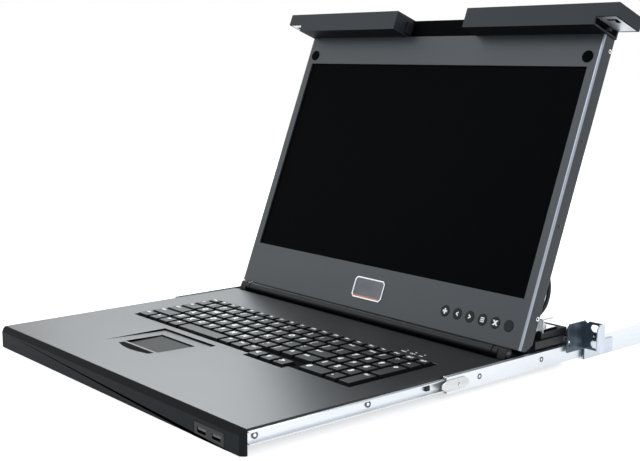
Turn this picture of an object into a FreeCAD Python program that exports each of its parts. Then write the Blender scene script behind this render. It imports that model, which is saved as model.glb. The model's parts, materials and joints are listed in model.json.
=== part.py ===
import FreeCAD, Part
import Sketcher
import math
import os
import re

# Rackmount LCD console drawer, one rack unit high, shown pulled out with its screen open.
# Frame: +X to the user's right, +Y into the rack, +Z up. The origin is the middle of the four
# mounting slots, on the back face of the ear brackets, which seats on the rack posts.

SIZES = {
    # rack and ear brackets
    "slot_spacing": 465.1,
    "slot_pitch": 15.875,
    "slot_width": 6.8,
    "slot_length": 10.0,
    "unit_base_to_slots": 30.1625,
    "ear_sheet": 1.5,
    "ear_height": 28.2,
    "ear_margin": 10.75,
    "ear_blade": 28.5,
    "ear_lip": 11.5,
    "ear_tail": 45.0,
    "ear_tail_height": 15.0,
    "ear_corner": 4.0,
    "ear_notch": 2.5,
    "rear_bracket_length": 70.0,
    "rack_screw_head": 3.0,
    "rack_screw_rise": 1.4,
    # travel and place of the drawer
    "reach": 403.5,
    "travel": 395.0,
    # ball slides
    "rail_clearance": 0.2,
    "rail_sheet": 1.1,
    "rail_drop": 6.9,
    "inner_rail_height": 10.6,
    "inner_rail_depth": 4.3,
    "middle_rail_depth": 5.0,
    "outer_rail_depth": 6.4,
    "rail_length": 400.0,
    "outer_rail_extra": 14.0,
    "middle_rail_front": 212.0,
    "ball_gap": 1.4,
    "web_gap": 1.2,
    "cage_sheet": 0.4,
    "cage_length": 168.0,
    "cage_inset": 6.0,
    "ball_size": 1.3,
    "rail_screw_head": 2.9,
    "rail_screw_rise": 0.9,
    "screw_first": 6.5,
    "screw_pitch": 116.5,
    "screw_lift": 1.0,
    "lock_gap": 0.15,
    "lock_sheet": 0.8,
    "lock_nose": 7.0,
    "lock_length": 27.0,
    "lock_height": 10.5,
    "lock_hole": 1.6,
    # drawer
    "deck_width": 421.0,
    "deck_depth": 293.0,
    "deck_sheet": 1.2,
    "skirt_drop": 5.0,
    "finger_notch": 12.5,
    "finger_notch_place": 233.5,
    "pan_inset": 1.5,
    "pan_drop": 13.5,
    "pan_length": 395.0,
    "bezel_overhang": 1.5,
    "bezel_height": 21.25,
    "bezel_depth": 5.5,
    "bezel_chamfer": 4.7,
    "bezel_corner": 3.5,
    "bezel_wall": 2.0,
    "usb_left": 147.2,
    "usb_width": 41.4,
    "usb_height": 12.3,
    "usb_drop": 8.4,
    "usb_port_width": 13.2,
    "usb_port_height": 5.8,
    "usb_port_pitch": 20.4,
    "usb_depth": 18.0,
    "usb_metal": 0.3,
    "usb_tongue": 1.9,
    "usb_clearance": 0.2,
    # keyboard
    "keyboard_left": -169.5,
    "keyboard_front": 131.0,
    "key_pitch": 19.0,
    "key_row": 18.6,
    "function_row": 13.6,
    "function_pitch": 17.42,
    "numpad_left": 107.0,
    "numpad_pitch": 18.0,
    "key_gap": 2.4,
    "key_taper": 1.1,
    "key_top": 2.2,
    "key_foot": 1.6,
    "key_travel": 1.8,
    "key_clearance": 0.35,
    "keyboard_margin": 2.0,
    "keyboard_frame_top": 1.0,
    "keyboard_base_top": 4.2,
    "keyboard_base_sheet": 1.0,
    "arrow_drop": 7.5,
    # touchpad
    "pad_centre": -49.0,
    "pad_width": 58.0,
    "pad_front": 65.5,
    "pad_depth": 41.5,
    "pad_sunk": 2.2,
    "pad_thickness": 3.0,
    "recess_width": 91.0,
    "recess_front": 50.0,
    "recess_depth": 71.0,
    "recess_fall": 1.8,
    "pad_button_width": 54.0,
    "pad_button_front": 51.5,
    "pad_button_back": 61.5,
    "pad_button_shoulder": 5.0,
    "pad_button_bow": 1.2,
    "pad_button_height": 3.4,
    "pad_button_clearance": 0.35,
    "pad_button_top": -0.4,
    "pad_lap": 4.0,
    # hinge and rear housing
    "hinge_y": 305.0,
    "hinge_z": 3.0,
    "hinge_barrel_radius": 5.5,
    "hinge_barrel_half": 190.0,
    "hinge_pin_radius": 3.0,
    "hinge_pin_start": 176.0,
    "hinge_clearance": 0.05,
    "knuckle_start": 191.0,
    "knuckle_width": 6.6,
    "hinge_side_gap": 0.5,
    "hinge_block_width": 9.5,
    "saddle_width": 16.0,
    "leaf_sheet": 2.5,
    "leaf_height": 10.0,
    "shelf_drop": 2.8,
    "shelf_sheet": 1.2,
    "housing_front": 332.5,
    "housing_clearance": 3.1,
    "housing_skirt": 4.3,
    "housing_top": 12.0,
    "upper_housing_front": 345.0,
    "upper_housing_back": 384.0,
    "upper_housing_top": 18.0,
    "upper_housing_clearance": 6.6,
    "upper_housing_gap": 300.0,
    "cable_across": 211.5,
    "cable_rise": 38.0,
    "cable_size": 4.0,
    "cable_drop": 40.0,
    "cable_window": 6.0,
    "bracket_inner": 194.0,
    "bracket_width": 19.0,
    "bracket_front": 338.0,
    "bracket_depth": 15.0,
    "bracket_top": 27.0,
    "bracket_sheet": 1.2,
    "bracket_hole": 4.0,
    # screen
    "lcd_lean": 21.24,
    "lcd_swing": 111.24,
    "lcd_clearance": 2.9,
    "lcd_height": 312.0,
    "lcd_thickness": 16.5,
    "lcd_wall": 1.6,
    "lcd_face_sheet": 2.0,
    "lcd_edge_rise": 6.0,
    "lcd_face_back": 2.7,
    "lcd_heel": 8.0,
    "screen_width": 411.0,
    "screen_height": 230.7,
    "screen_bottom": 48.2,
    "panel_lap": 4.0,
    "panel_thickness": 6.0,
    "button_radius": 5.5,
    "button_clearance": 0.3,
    "button_first": 114.5,
    "button_pitch": 16.4,
    "button_rise": 20.0,
    "button_proud": 0.4,
    "button_body": 3.6,
    "button_travel": 0.6,
    "board_thickness": 1.6,
    "badge_width": 46.0,
    "badge_height": 23.0,
    "badge_rise": 12.0,
    "badge_thickness": 0.8,
    "badge_corner": 3.0,
    "bumper_radius": 6.0,
    "bumper_across": 203.0,
    "bumper_up": 289.0,
    "bumper_proud": 1.2,
    # wings and latches
    "wing_inner": 52.0,
    "wing_inset": 2.0,
    "wing_depth": 21.5,
    "wing_front": 23.5,
    "wing_wall": 2.0,
    "wing_gap": 0.4,
    "centre_panel_depth": 12.0,
    "centre_panel_rise": 21.0,
    "latch_clearance": 1.6,
    "latch_notch_depth": 8.0,
    "latch_sheet": 1.4,
    "hook_start": 7.0,
    "hook_length": 11.0,
    "hook_width": 5.0,
    "hook_front": 6.0,
    "latch_screw_front": 3.0,
    "latch_screw_inset": 4.0,
    "bolt_up": 3.6,
    "bolt_height": 5.0,
    "bolt_thick": 2.4,
    "bolt_back": 0.7,
    "bolt_overlap": 3.0,
    "bolt_clearance": 0.35,
    "bolt_travel": 5.0,
    "thumb_gap": 0.4,
    "thumb_width": 9.0,
    "thumb_height": 13.0,
    "thumb_thick": 3.0,
}

# Sizes that follow from the ones above. Each may use the names below it.
FOLLOWS = {
    "wing_outer": "(ear_width - wing_inset)",
    "ear_width": "(slot_spacing / 2 + ear_margin)",
    "bolt_reach": "(slide_end + bolt_overlap)",
    "latch_notch": "(slide_end - latch_clearance)",
    "lcd_width": "(2 * (slide_end - lcd_clearance))",
    "upper_housing_width": "(2 * (slide_end - upper_housing_clearance))",
    "housing_width": "(2 * (slide_end - housing_clearance))",
    "slide_end": "(rail_start + inner_rail_depth + 2 * web_gap + 2 * rail_sheet)",
    "rail_start": "(deck_width / 2 + rail_clearance)",
    "bezel_width": "(deck_width + 2 * bezel_overhang)",
    "pan_width": "(deck_width - 2 * pan_inset)",
}

doc = FreeCAD.newDocument("console_drawer")
sheet = doc.addObject("Spreadsheet::Sheet", "Sizes")
for row, (alias, size) in enumerate(SIZES.items(), 1):
    sheet.set(f"A{row}", alias)
    sheet.set(f"B{row}", str(size))
    sheet.setAlias(f"B{row}", alias)
doc.recompute()

KEPT = []
# which way each origin plane faces along its own axis
FACING = {"XY_Plane": 1, "YZ_Plane": 1, "XZ_Plane": -1}


def formula(text):
    """Point every size named in an expression at its cell of the sheet."""
    for name, rule in FOLLOWS.items():
        text = re.sub(rf"\b{name}\b", rule, text)
    return re.sub(r"[a-z]\w+", lambda word: "Sizes." + word[0] if word[0] in SIZES else word[0], text)


def bind(thing, slot, text):
    thing.setExpression(slot, formula(text))


def seat(thing, place, lean=None):
    """Bind where a sub-part stands, and how far it leans back about X."""
    if lean:
        thing.Placement = FreeCAD.Placement(
            FreeCAD.Vector(), FreeCAD.Rotation(FreeCAD.Vector(1, 0, 0), -1.0))
        bind(thing, "Placement.Rotation.Angle", lean)
    for axis, text in zip("xyz", place):
        bind(thing, f"Placement.Base.{axis}", text)


DRAWER = ("0", "-reach", "bezel_height - unit_base_to_slots")
SCREEN = ("0", "hinge_y - reach", "hinge_z + bezel_height - unit_base_to_slots")
RACK = ("0", "0", "0")


def sub_part(label, place=DRAWER):
    body = doc.addObject("PartDesign::Body", label)
    body.Label = label
    seat(body, place, "-lcd_lean" if place == SCREEN else None)
    KEPT.append(body)
    return body


def sketch_on(body, plane, middle):
    sketch = body.newObject("Sketcher::SketchObject", body.Label + "_sketch")
    origin_plane = [one for one in body.Origin.OriginFeatures if one.Role == plane][0]
    sketch.AttachmentSupport = [(origin_plane, "")]
    sketch.MapMode = "FlatFace"
    bind(sketch, "AttachmentOffset.Base.z", f"({middle}) * {FACING[plane]}")
    return sketch


def polygon(sketch, points):
    count = len(points)
    start = len(sketch.Geometry)
    guess = [FreeCAD.Vector(math.cos(2 * math.pi * i / count), math.sin(2 * math.pi * i / count), 0)
             for i in range(count)]
    for i in range(count):
        sketch.addGeometry(Part.LineSegment(guess[i], guess[(i + 1) % count]), False)
    for i in range(count):
        follower = start + (i + 1) % count
        sketch.addConstraint(Sketcher.Constraint("Coincident", start + i, 2, follower, 1))
    for i, (across, up) in enumerate(points):
        for kind, text, first in (("DistanceX", across, guess[i].x), ("DistanceY", up, guess[i].y)):
            index = sketch.addConstraint(Sketcher.Constraint(kind, -1, 1, start + i, 1, first))
            bind(sketch, f"Constraints[{index}]", text)


def circle(sketch, centre, radius):
    index = sketch.addGeometry(Part.Circle(FreeCAD.Vector(1, 1, 0), FreeCAD.Vector(0, 0, 1), 1.0), False)
    rules = (
        (Sketcher.Constraint("DistanceX", -1, 1, index, 3, 1.0), centre[0]),
        (Sketcher.Constraint("DistanceY", -1, 1, index, 3, 1.0), centre[1]),
        (Sketcher.Constraint("Radius", index, 1.0), radius),
    )
    for rule, text in rules:
        bind(sketch, f"Constraints[{sketch.addConstraint(rule)}]", text)


def extrude(body, sketch, low, high, cut):
    kind = "PartDesign::Pocket" if cut else "PartDesign::Pad"
    feature = body.newObject(kind, body.Label + ("_cut" if cut else "_pad"))
    feature.Profile = sketch
    feature.SideType = "Symmetric"
    bind(feature, "Length", f"({high}) - ({low})")
    return feature


def prism(body, plane, points, low, high, cut=False):
    """A straight pad or cut of a polygon, from low to high along the plane's own axis."""
    sketch = sketch_on(body, plane, f"(({low}) + ({high})) / 2")
    polygon(sketch, points)
    return extrude(body, sketch, low, high, cut)


def block(body, across, along, up, cut=False):
    """A box, or a box-shaped cut: its low and high limits in X, Y and Z."""
    points = [(across[0], along[0]), (across[1], along[0]), (across[1], along[1]), (across[0], along[1])]
    return prism(body, "XY_Plane", points, up[0], up[1], cut)


def disc(body, plane, centre, radius, low, high, cut=False):
    sketch = sketch_on(body, plane, f"(({low}) + ({high})) / 2")
    circle(sketch, centre, radius)
    return extrude(body, sketch, low, high, cut)


def slot(body, centre, low, high):
    """A round-ended slot along X, cut through a plate that faces Y."""
    x, z = centre
    flat = "(slot_length - slot_width) / 2"
    for side in ("-", "+"):
        disc(body, "XZ_Plane", (f"{x} {side} {flat}", z), "slot_width / 2", low, high, cut=True)
    corners = [(f"{x} - {flat}", f"{z} - slot_width / 2"), (f"{x} + {flat}", f"{z} - slot_width / 2"),
               (f"{x} + {flat}", f"{z} + slot_width / 2"), (f"{x} - {flat}", f"{z} + slot_width / 2")]
    prism(body, "XZ_Plane", corners, low, high, cut=True)


def mirrored(source, label):
    """The left-hand twin of a right-hand sub-part."""
    twin = doc.addObject("Part::Mirroring", label)
    twin.Source = source
    twin.Normal = FreeCAD.Vector(1, 0, 0)
    twin.Label = label
    KEPT.append(twin)
    return twin


def group(label, members, place=None):
    """Separate solids of one kind, kept together under one name."""
    bundle = doc.addObject("Part::Compound", label)
    bundle.Links = members
    bundle.Label = label
    if place:
        seat(bundle, place, "-lcd_lean" if place == SCREEN else None)
    KEPT.append(bundle)
    return bundle


def cylinder(radius, length, place, turn):
    """A round piece: turn is the axis and angle that lay its length along the wanted direction."""
    piece = doc.addObject("Part::Cylinder", "round_piece")
    bind(piece, "Radius", radius)
    bind(piece, "Height", length)
    piece.Placement = FreeCAD.Placement(FreeCAD.Vector(), FreeCAD.Rotation(FreeCAD.Vector(*turn[0]), turn[1]))
    seat(piece, place)
    return piece


ALONG_X = ((0, 1, 0), 90)
ALONG_Y = ((1, 0, 0), -90)
ALONG_Z = ((0, 0, 1), 0)


# ---------------------------------------------------------------- slides
# Cross-sections lie one inside the next, open sides facing, and all share one centre line.

INNER_HALF = "inner_rail_height / 2"
MIDDLE_HALF = "(inner_rail_height / 2 + ball_gap + rail_sheet)"
OUTER_HALF = "(inner_rail_height / 2 + 2 * ball_gap + 2 * rail_sheet)"
INNER_END = "(rail_start + inner_rail_depth)"
MIDDLE_END = "(rail_start + inner_rail_depth + web_gap + rail_sheet)"
OUTER_END = "slide_end"


def channel(body, web, lip, half, low, high):
    """A C-section along Y: web is its X limits, lip is where the flanges end."""
    wall, back = web
    centre = "-rail_drop"
    points = [
        (back, f"{centre} - {half}"), (lip, f"{centre} - {half}"),
        (lip, f"{centre} - {half} + rail_sheet"), (wall, f"{centre} - {half} + rail_sheet"),
        (wall, f"{centre} + {half} - rail_sheet"), (lip, f"{centre} + {half} - rail_sheet"),
        (lip, f"{centre} + {half}"), (back, f"{centre} + {half}"),
    ]
    prism(body, "XZ_Plane", points, low, high)


def make_slides():
    inner = sub_part("right_inner_rail")
    channel(inner, ("rail_start + rail_sheet", "rail_start"), INNER_END, INNER_HALF, "0", "rail_length")
    mirrored(inner, "left_inner_rail")

    middle = sub_part("right_middle_rail")
    channel(middle, (f"{MIDDLE_END} - rail_sheet", MIDDLE_END), f"{MIDDLE_END} - middle_rail_depth",
            MIDDLE_HALF, "middle_rail_front", "middle_rail_front + rail_length")
    mirrored(middle, "left_middle_rail")

    outer = sub_part("right_outer_rail")
    channel(outer, (f"{OUTER_END} - rail_sheet", OUTER_END), f"{OUTER_END} - outer_rail_depth",
            OUTER_HALF, "reach", "reach + rail_length + outer_rail_extra")
    mirrored(outer, "left_outer_rail")


def cage(label, web_middle, half, lip, front):
    """A ball cage on each side: a thin channel in the middle of the gap between two rails."""
    body = sub_part(label + "_right")
    KEPT.remove(body)
    height = f"({half} + ball_gap / 2 + cage_sheet / 2)"
    back = f"({web_middle} + cage_sheet / 2)"
    wall = f"({web_middle} - cage_sheet / 2)"
    centre = "-rail_drop"
    points = [
        (back, f"{centre} - {height}"), (lip, f"{centre} - {height}"),
        (lip, f"{centre} - {height} + cage_sheet"), (wall, f"{centre} - {height} + cage_sheet"),
        (wall, f"{centre} + {height} - cage_sheet"), (lip, f"{centre} + {height} - cage_sheet"),
        (lip, f"{centre} + {height}"), (back, f"{centre} + {height}"),
    ]
    prism(body, "XZ_Plane", points, front, f"{front} + cage_length")
    twin = mirrored(body, label + "_left")
    KEPT.remove(twin)
    group(label, [body, twin])


def make_cages():
    cage("inner_ball_cages", f"{INNER_END} + web_gap / 2", INNER_HALF,
         "rail_start + 2 * rail_sheet", "middle_rail_front + cage_inset")
    cage("outer_ball_cages", f"{MIDDLE_END} + web_gap / 2", MIDDLE_HALF,
         f"{MIDDLE_END} - middle_rail_depth + rail_sheet", "reach + cage_inset")


# ---------------------------------------------------------------- ear brackets

# Where the latch bolt stands once the screen is shut and the drawer is in.
CLOSED_BOLT_Y = "(travel - reach + hinge_y - lcd_edge_rise - lcd_height - bolt_up)"
CLOSED_BOLT_Z = "(bezel_height - unit_base_to_slots + hinge_z + bolt_back)"
EAR_X = OUTER_END
EAR_BACK_X = "ear_width"


def make_ears():
    ear = sub_part("right_ear_bracket", RACK)
    half = "ear_height / 2"
    # blade that runs forward past the rail's end, with its lower tail along the rail
    rail_low = f"bezel_height - unit_base_to_slots - rail_drop - {OUTER_HALF} + rail_sheet"
    blade = [
        ("-ear_blade", f"-{half}"), ("-ear_sheet", f"-{half}"), ("-ear_sheet", rail_low),
        ("ear_tail", rail_low), ("ear_tail", f"{rail_low} + ear_tail_height"),
        ("0", f"{rail_low} + ear_tail_height"), ("0", half),
        ("ear_corner - ear_blade", half), ("-ear_blade", f"{half} - ear_corner"),
    ]
    prism(ear, "YZ_Plane", blade, EAR_X, f"{EAR_X} + ear_sheet")
    block(ear, (EAR_X, EAR_BACK_X), ("-ear_sheet", "0"), (f"-{half}", half))
    lip = [("-ear_lip", f"-{half} + ear_corner"), ("ear_corner - ear_lip", f"-{half}"), ("0", f"-{half}"),
           ("0", half), ("ear_corner - ear_lip", half), ("-ear_lip", f"{half} - ear_corner")]
    prism(ear, "YZ_Plane", lip, f"{EAR_BACK_X} - ear_sheet", EAR_BACK_X)
    for side in ("-", "+"):
        slot(ear, ("slot_spacing / 2", f"0 {side} slot_pitch / 2"), "-2 * ear_sheet", "ear_sheet")
    # relief at the bend
    notch = [(EAR_X, half), (f"{EAR_X} + ear_sheet + 2 * ear_notch", half),
             (f"{EAR_X} + ear_sheet + ear_notch", f"{half} - ear_notch")]
    prism(ear, "XZ_Plane", notch, "-2 * ear_sheet", "ear_sheet", cut=True)
    # window that the latch bolt enters
    window_low = f"{CLOSED_BOLT_Z} - bolt_height / 2 - bolt_clearance"
    window_high = f"{CLOSED_BOLT_Z} + bolt_height / 2 + bolt_clearance"
    block(ear, (f"{EAR_X} - ear_sheet", f"{EAR_X} + 2 * ear_sheet"),
          (f"{CLOSED_BOLT_Y} - bolt_thick / 2 - bolt_clearance",
           f"{CLOSED_BOLT_Y} + bolt_thick / 2 + bolt_clearance"),
          (window_low, window_high), cut=True)
    mirrored(ear, "left_ear_bracket")


def make_rear_brackets():
    bracket = sub_part("rear_bracket_right", RACK)
    KEPT.remove(bracket)
    rail_end = "rail_length + outer_rail_extra"
    rail_low = f"bezel_height - unit_base_to_slots - rail_drop - {OUTER_HALF} + rail_sheet"
    back = f"{rail_end} + ear_sheet"
    block(bracket, (EAR_X, f"{EAR_X} + ear_sheet"), (f"{rail_end} - rear_bracket_length", back),
          (rail_low, f"{rail_low} + ear_tail_height"))
    block(bracket, (EAR_X, f"{EAR_X} + ear_sheet"), (f"{rail_end} - ear_blade", back),
          (rail_low, "ear_height / 2"))
    block(bracket, (EAR_X, EAR_BACK_X), (rail_end, back), (rail_low, "ear_height / 2"))
    for side in ("-", "+"):
        slot(bracket, ("slot_spacing / 2", f"0 {side} slot_pitch / 2"), f"{rail_end} - ear_sheet",
             f"{back} + ear_sheet")
    twin = mirrored(bracket, "rear_bracket_left")
    KEPT.remove(twin)
    group("rear_brackets", [bracket, twin])


# ---------------------------------------------------------------- drawer

def make_pan():
    pan = sub_part("drawer_pan")
    side = "pan_width / 2"
    top = "-deck_sheet"
    block(pan, (f"-{side}", side), ("0", "pan_length"), ("-pan_drop", top))
    block(pan, (f"deck_sheet - {side}", f"{side} - deck_sheet"), ("deck_sheet", "pan_length - deck_sheet"),
          ("deck_sheet - pan_drop", "0"), cut=True)
    # notch in the front wall and the floor that the two USB sockets reach into
    block(pan, ("usb_left", "usb_left + usb_width"), ("-deck_sheet", "usb_depth - bezel_depth + deck_sheet"),
          ("-2 * pan_drop", "-usb_drop"), cut=True)


KEYS_LEFT = "(keyboard_left - keyboard_margin)"
KEYS_RIGHT = "(numpad_left + 4 * numpad_pitch + keyboard_margin)"
KEYS_FRONT = "(keyboard_front - keyboard_margin / 2)"
KEYS_BACK = "(keyboard_front + 5 * key_row + function_row + keyboard_margin / 2)"
ARROWS_LEFT = "(keyboard_left + 11 * key_pitch - keyboard_margin / 2)"
ARROWS_RIGHT = "(keyboard_left + 14 * key_pitch + keyboard_margin / 2)"
ARROWS_FRONT = "(keyboard_front - arrow_drop - keyboard_margin / 2)"


def keyboard_outline(inset="0"):
    """The keyboard's opening: a rectangle with a step forward for the arrow keys."""
    return [
        (f"{KEYS_LEFT} + {inset}", f"{KEYS_FRONT} + {inset}"),
        (f"{ARROWS_LEFT} + {inset}", f"{KEYS_FRONT} + {inset}"),
        (f"{ARROWS_LEFT} + {inset}", f"{ARROWS_FRONT} + {inset}"),
        (f"{ARROWS_RIGHT} - {inset}", f"{ARROWS_FRONT} + {inset}"),
        (f"{ARROWS_RIGHT} - {inset}", f"{KEYS_FRONT} + {inset}"),
        (f"{KEYS_RIGHT} - {inset}", f"{KEYS_FRONT} + {inset}"),
        (f"{KEYS_RIGHT} - {inset}", f"{KEYS_BACK} - {inset}"),
        (f"{KEYS_LEFT} + {inset}", f"{KEYS_BACK} - {inset}"),
    ]


def make_deck():
    deck = sub_part("deck_cover")
    side = "deck_width / 2"
    block(deck, (f"-{side}", side), ("0", "deck_depth"), ("-skirt_drop", "0"))
    block(deck, (f"deck_sheet - {side}", f"{side} - deck_sheet"), ("-deck_sheet", "deck_depth + deck_sheet"),
          ("-2 * skirt_drop", "-deck_sheet"), cut=True)
    prism(deck, "XY_Plane", keyboard_outline(), "-2 * deck_sheet", "deck_sheet", cut=True)
    # the touchpad's hollow falls away towards the keyboard, in a thicker patch of the deck
    left = "pad_centre - recess_width / 2"
    right = "pad_centre + recess_width / 2"
    patch = "(recess_fall + deck_sheet)"
    block(deck, (f"{left} - deck_sheet", f"{right} + deck_sheet"),
          ("recess_front", "recess_front + recess_depth + deck_sheet"), (f"-{patch}", "-deck_sheet / 2"))
    prism(deck, "YZ_Plane", [("recess_front", "0"), ("recess_front", "deck_sheet"),
                             ("recess_front + recess_depth", "deck_sheet"),
                             ("recess_front + recess_depth", "-recess_fall")], left, right, cut=True)
    block(deck, ("pad_centre - pad_width / 2 - key_clearance", "pad_centre + pad_width / 2 + key_clearance"),
          ("pad_front - key_clearance", "pad_front + pad_depth + key_clearance"),
          ("-2 * skirt_drop", "deck_sheet"), cut=True)
    wide = "pad_button_width / 2 + pad_button_clearance"
    curve = sketch_on(deck, "XY_Plane", "-skirt_drop / 2")
    button_outline(curve, wide, "pad_button_clearance")
    extrude(deck, curve, "-2 * skirt_drop", "skirt_drop", True)
    for hand in ("-", ""):
        disc(deck, "YZ_Plane", ("finger_notch_place", "-skirt_drop - finger_notch + 2 * deck_sheet"),
             "finger_notch", f"{hand}{side} - 2 * deck_sheet", f"{hand}{side} + 2 * deck_sheet", cut=True)


def button_outline(sketch, half_width, spare):
    """Touchpad buttons: straight at the back, with a front edge that is one shallow arc."""
    low = f"(pad_centre - ({half_width}))"
    high = f"(pad_centre + ({half_width}))"
    back = f"(pad_button_back + {spare})"
    shoulder = f"(pad_button_front + pad_button_shoulder - {spare})"
    nose = f"(pad_button_front - {spare})"
    polygon(sketch, [
        (low, back), (low, shoulder), ("pad_centre - pad_button_width / 4", f"{nose} + pad_button_bow"),
        ("pad_centre", nose), ("pad_centre + pad_button_width / 4", f"{nose} + pad_button_bow"),
        (high, shoulder), (high, back)])


def make_bezel():
    bezel = sub_part("front_bezel")
    half = "bezel_width / 2"
    profile = [("0", "0"), ("-bezel_depth", "-bezel_chamfer"), ("-bezel_depth", "-bezel_height"),
               ("0", "-bezel_height")]
    prism(bezel, "YZ_Plane", profile, f"-{half}", half)
    for hand in ("", "-"):
        corner = [(f"{hand}{half}", "-bezel_depth"), (f"{hand}({half} - bezel_corner)", "-bezel_depth"),
                  (f"{hand}{half}", "bezel_corner - bezel_depth")]
        prism(bezel, "XY_Plane", corner, "-2 * bezel_height", "bezel_height", cut=True)
    inside = f"{half} - 2 * bezel_corner"
    block(bezel, (f"-({inside})", inside), ("bezel_wall - bezel_depth", "bezel_depth"),
          ("bezel_wall - bezel_height", "-bezel_chamfer - bezel_wall"), cut=True)
    block(bezel, ("usb_left", "usb_left + usb_width"), ("-2 * bezel_depth", "bezel_depth"),
          ("-usb_drop - usb_height", "-usb_drop"), cut=True)


def make_usb():
    """A plastic carrier that fills the bezel's window, with two metal sockets through it."""
    carrier = sub_part("usb_carrier")
    sockets = sub_part("usb_sockets")
    spare = "usb_clearance"
    block(carrier, (f"usb_left + {spare}", f"usb_left + usb_width - {spare}"), ("-bezel_depth", "-bezel_wall"),
          (f"-usb_drop - usb_height + {spare}", f"-usb_drop - {spare}"))
    middle = "(-usb_drop - usb_height / 2)"
    high = "usb_port_height / 2"
    wide = "usb_port_width / 2"
    mouth = "-bezel_depth"
    end = "(usb_depth - bezel_depth)"
    for place in ("- usb_port_pitch / 2", "+ usb_port_pitch / 2"):
        centre = f"(usb_left + usb_width / 2 {place})"
        block(carrier, (f"{centre} - {wide}", f"{centre} + {wide}"), ("-2 * bezel_depth", "bezel_depth"),
              (f"{middle} - {high}", f"{middle} + {high}"), cut=True)
        block(sockets, (f"{centre} - {wide}", f"{centre} + {wide}"), (mouth, end),
              (f"{middle} - {high}", f"{middle} + {high}"))
        block(sockets, (f"{centre} - {wide} + usb_metal", f"{centre} + {wide} - usb_metal"),
              ("-2 * bezel_depth", f"{end} - usb_tongue"),
              (f"{middle} - {high} + usb_metal", f"{middle} + {high} - usb_metal"), cut=True)
        block(sockets, (f"{centre} - {wide} + 3 * usb_metal", f"{centre} + {wide} - 3 * usb_metal"),
              ("2 * usb_metal - bezel_depth", end), (middle, f"{middle} + usb_tongue"))


# ---------------------------------------------------------------- keyboard

NUMBER_ROW = [1] * 13 + [1.5]
UPPER_ROW = [1.5] + [1] * 13
HOME_ROW = [1.75] + [1] * 11 + [1.75]
LOWER_ROW = [2] + [1] * 11 + [1.5]
BOTTOM_ROW = [1.15, 1, 1, 1, 3.85, 1, 1, 1]


def key(left, width, front, depth):
    """One key cap, tapering to its top: the cell it stands in is given in the deck's plane."""
    cap = doc.addObject("Part::Wedge", "key_cap")
    upright = FreeCAD.Rotation(FreeCAD.Vector(1, 0, 0), 90)
    cap.Placement = FreeCAD.Placement(FreeCAD.Vector(), upright)
    seat(cap, (f"({left}) + ({width}) / 2", f"({front}) + ({depth}) / 2", "-key_foot"))
    for name, span in (("X", width), ("Z", depth)):
        bind(cap, f"{name}min", f"(key_gap - ({span})) / 2")
        bind(cap, f"{name}max", f"(({span}) - key_gap) / 2")
        bind(cap, f"{name}2min", f"(key_gap - ({span})) / 2 + key_taper")
        bind(cap, f"{name}2max", f"(({span}) - key_gap) / 2 - key_taper")
    bind(cap, "Ymin", "0")
    bind(cap, "Ymax", "key_foot + key_top")
    CELLS.append((left, width, front, depth))
    return cap


CELLS = []


def key_row(widths, row):
    """The cells of one row of the main block: left side, width, front and depth of each key."""
    at = 0
    cells = []
    for width in widths:
        cells.append((f"keyboard_left + {at} * key_pitch", f"{width} * key_pitch",
                      f"keyboard_front + {row} * key_row", "key_row"))
        at += width
    return cells


def pad_cell(column, row, wide=1, tall=1):
    return (f"numpad_left + {column} * numpad_pitch", f"{wide} * numpad_pitch",
            f"keyboard_front + {row} * key_row", f"{tall} * key_row")


def arrow_cell(column, row):
    return (f"keyboard_left + {column} * key_pitch", "key_pitch",
            f"keyboard_front + {row} * key_row - arrow_drop", "key_row")


def make_keys():
    function_front = "keyboard_front + 5 * key_row"
    bottom = key_row(BOTTOM_ROW, 0)
    home = key_row(HOME_ROW, 2)
    lower = key_row(LOWER_ROW, 1)
    rows = {
        "function_keys": [(f"keyboard_left + {i} * function_pitch", "function_pitch", function_front,
                           "function_row") for i in range(20)],
        "number_keys": key_row(NUMBER_ROW, 4),
        "upper_letter_keys": key_row(UPPER_ROW, 3),
        "home_letter_keys": home[:-1],
        "enter_key": home[-1:],
        "lower_letter_keys": lower[:11] + lower[12:],
        "modifier_keys": bottom[:4] + bottom[5:],
        "space_bar": bottom[4:5],
        "arrow_keys": lower[11:12] + [arrow_cell(column, 0) for column in (11, 12, 13)],
        "numpad_keys": [pad_cell(column, row) for row in (1, 2, 3, 4) for column in (0, 1, 2)]
        + [pad_cell(3, 4), pad_cell(0, 0, wide=2), pad_cell(2, 0), pad_cell(3, 2, tall=2), pad_cell(3, 0, tall=2)],
    }
    for label, cells in rows.items():
        group(label, [key(*cell) for cell in cells], DRAWER)


def make_keyboard_frame():
    """The grid that the keys stand in, and the plate below it."""
    base = sub_part("keyboard_base")
    prism(base, "XY_Plane", keyboard_outline("-keyboard_margin"), "-keyboard_base_top - keyboard_base_sheet",
          "-keyboard_base_top")
    slab = sub_part("keyboard_slab")
    KEPT.remove(slab)
    prism(slab, "XY_Plane", keyboard_outline("key_clearance"), "-keyboard_base_top", "-keyboard_frame_top")
    cells = []
    for left, width, front, depth in CELLS:
        cell = doc.addObject("Part::Box", "key_cell")
        bind(cell, "Length", f"({width}) - key_gap + 2 * key_clearance")
        bind(cell, "Width", f"({depth}) - key_gap + 2 * key_clearance")
        bind(cell, "Height", "2 * keyboard_base_top")
        seat(cell, (f"({left}) + key_gap / 2 - key_clearance", f"({front}) + key_gap / 2 - key_clearance",
                    "-1.5 * keyboard_base_top"))
        cells.append(cell)
    holes = doc.addObject("Part::Compound", "key_holes")
    holes.Links = cells
    seat(holes, DRAWER)
    frame = doc.addObject("Part::Cut", "keyboard_frame")
    frame.Base = slab
    frame.Tool = holes
    frame.Label = "keyboard_frame"
    KEPT.append(frame)


# ---------------------------------------------------------------- touchpad

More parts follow.
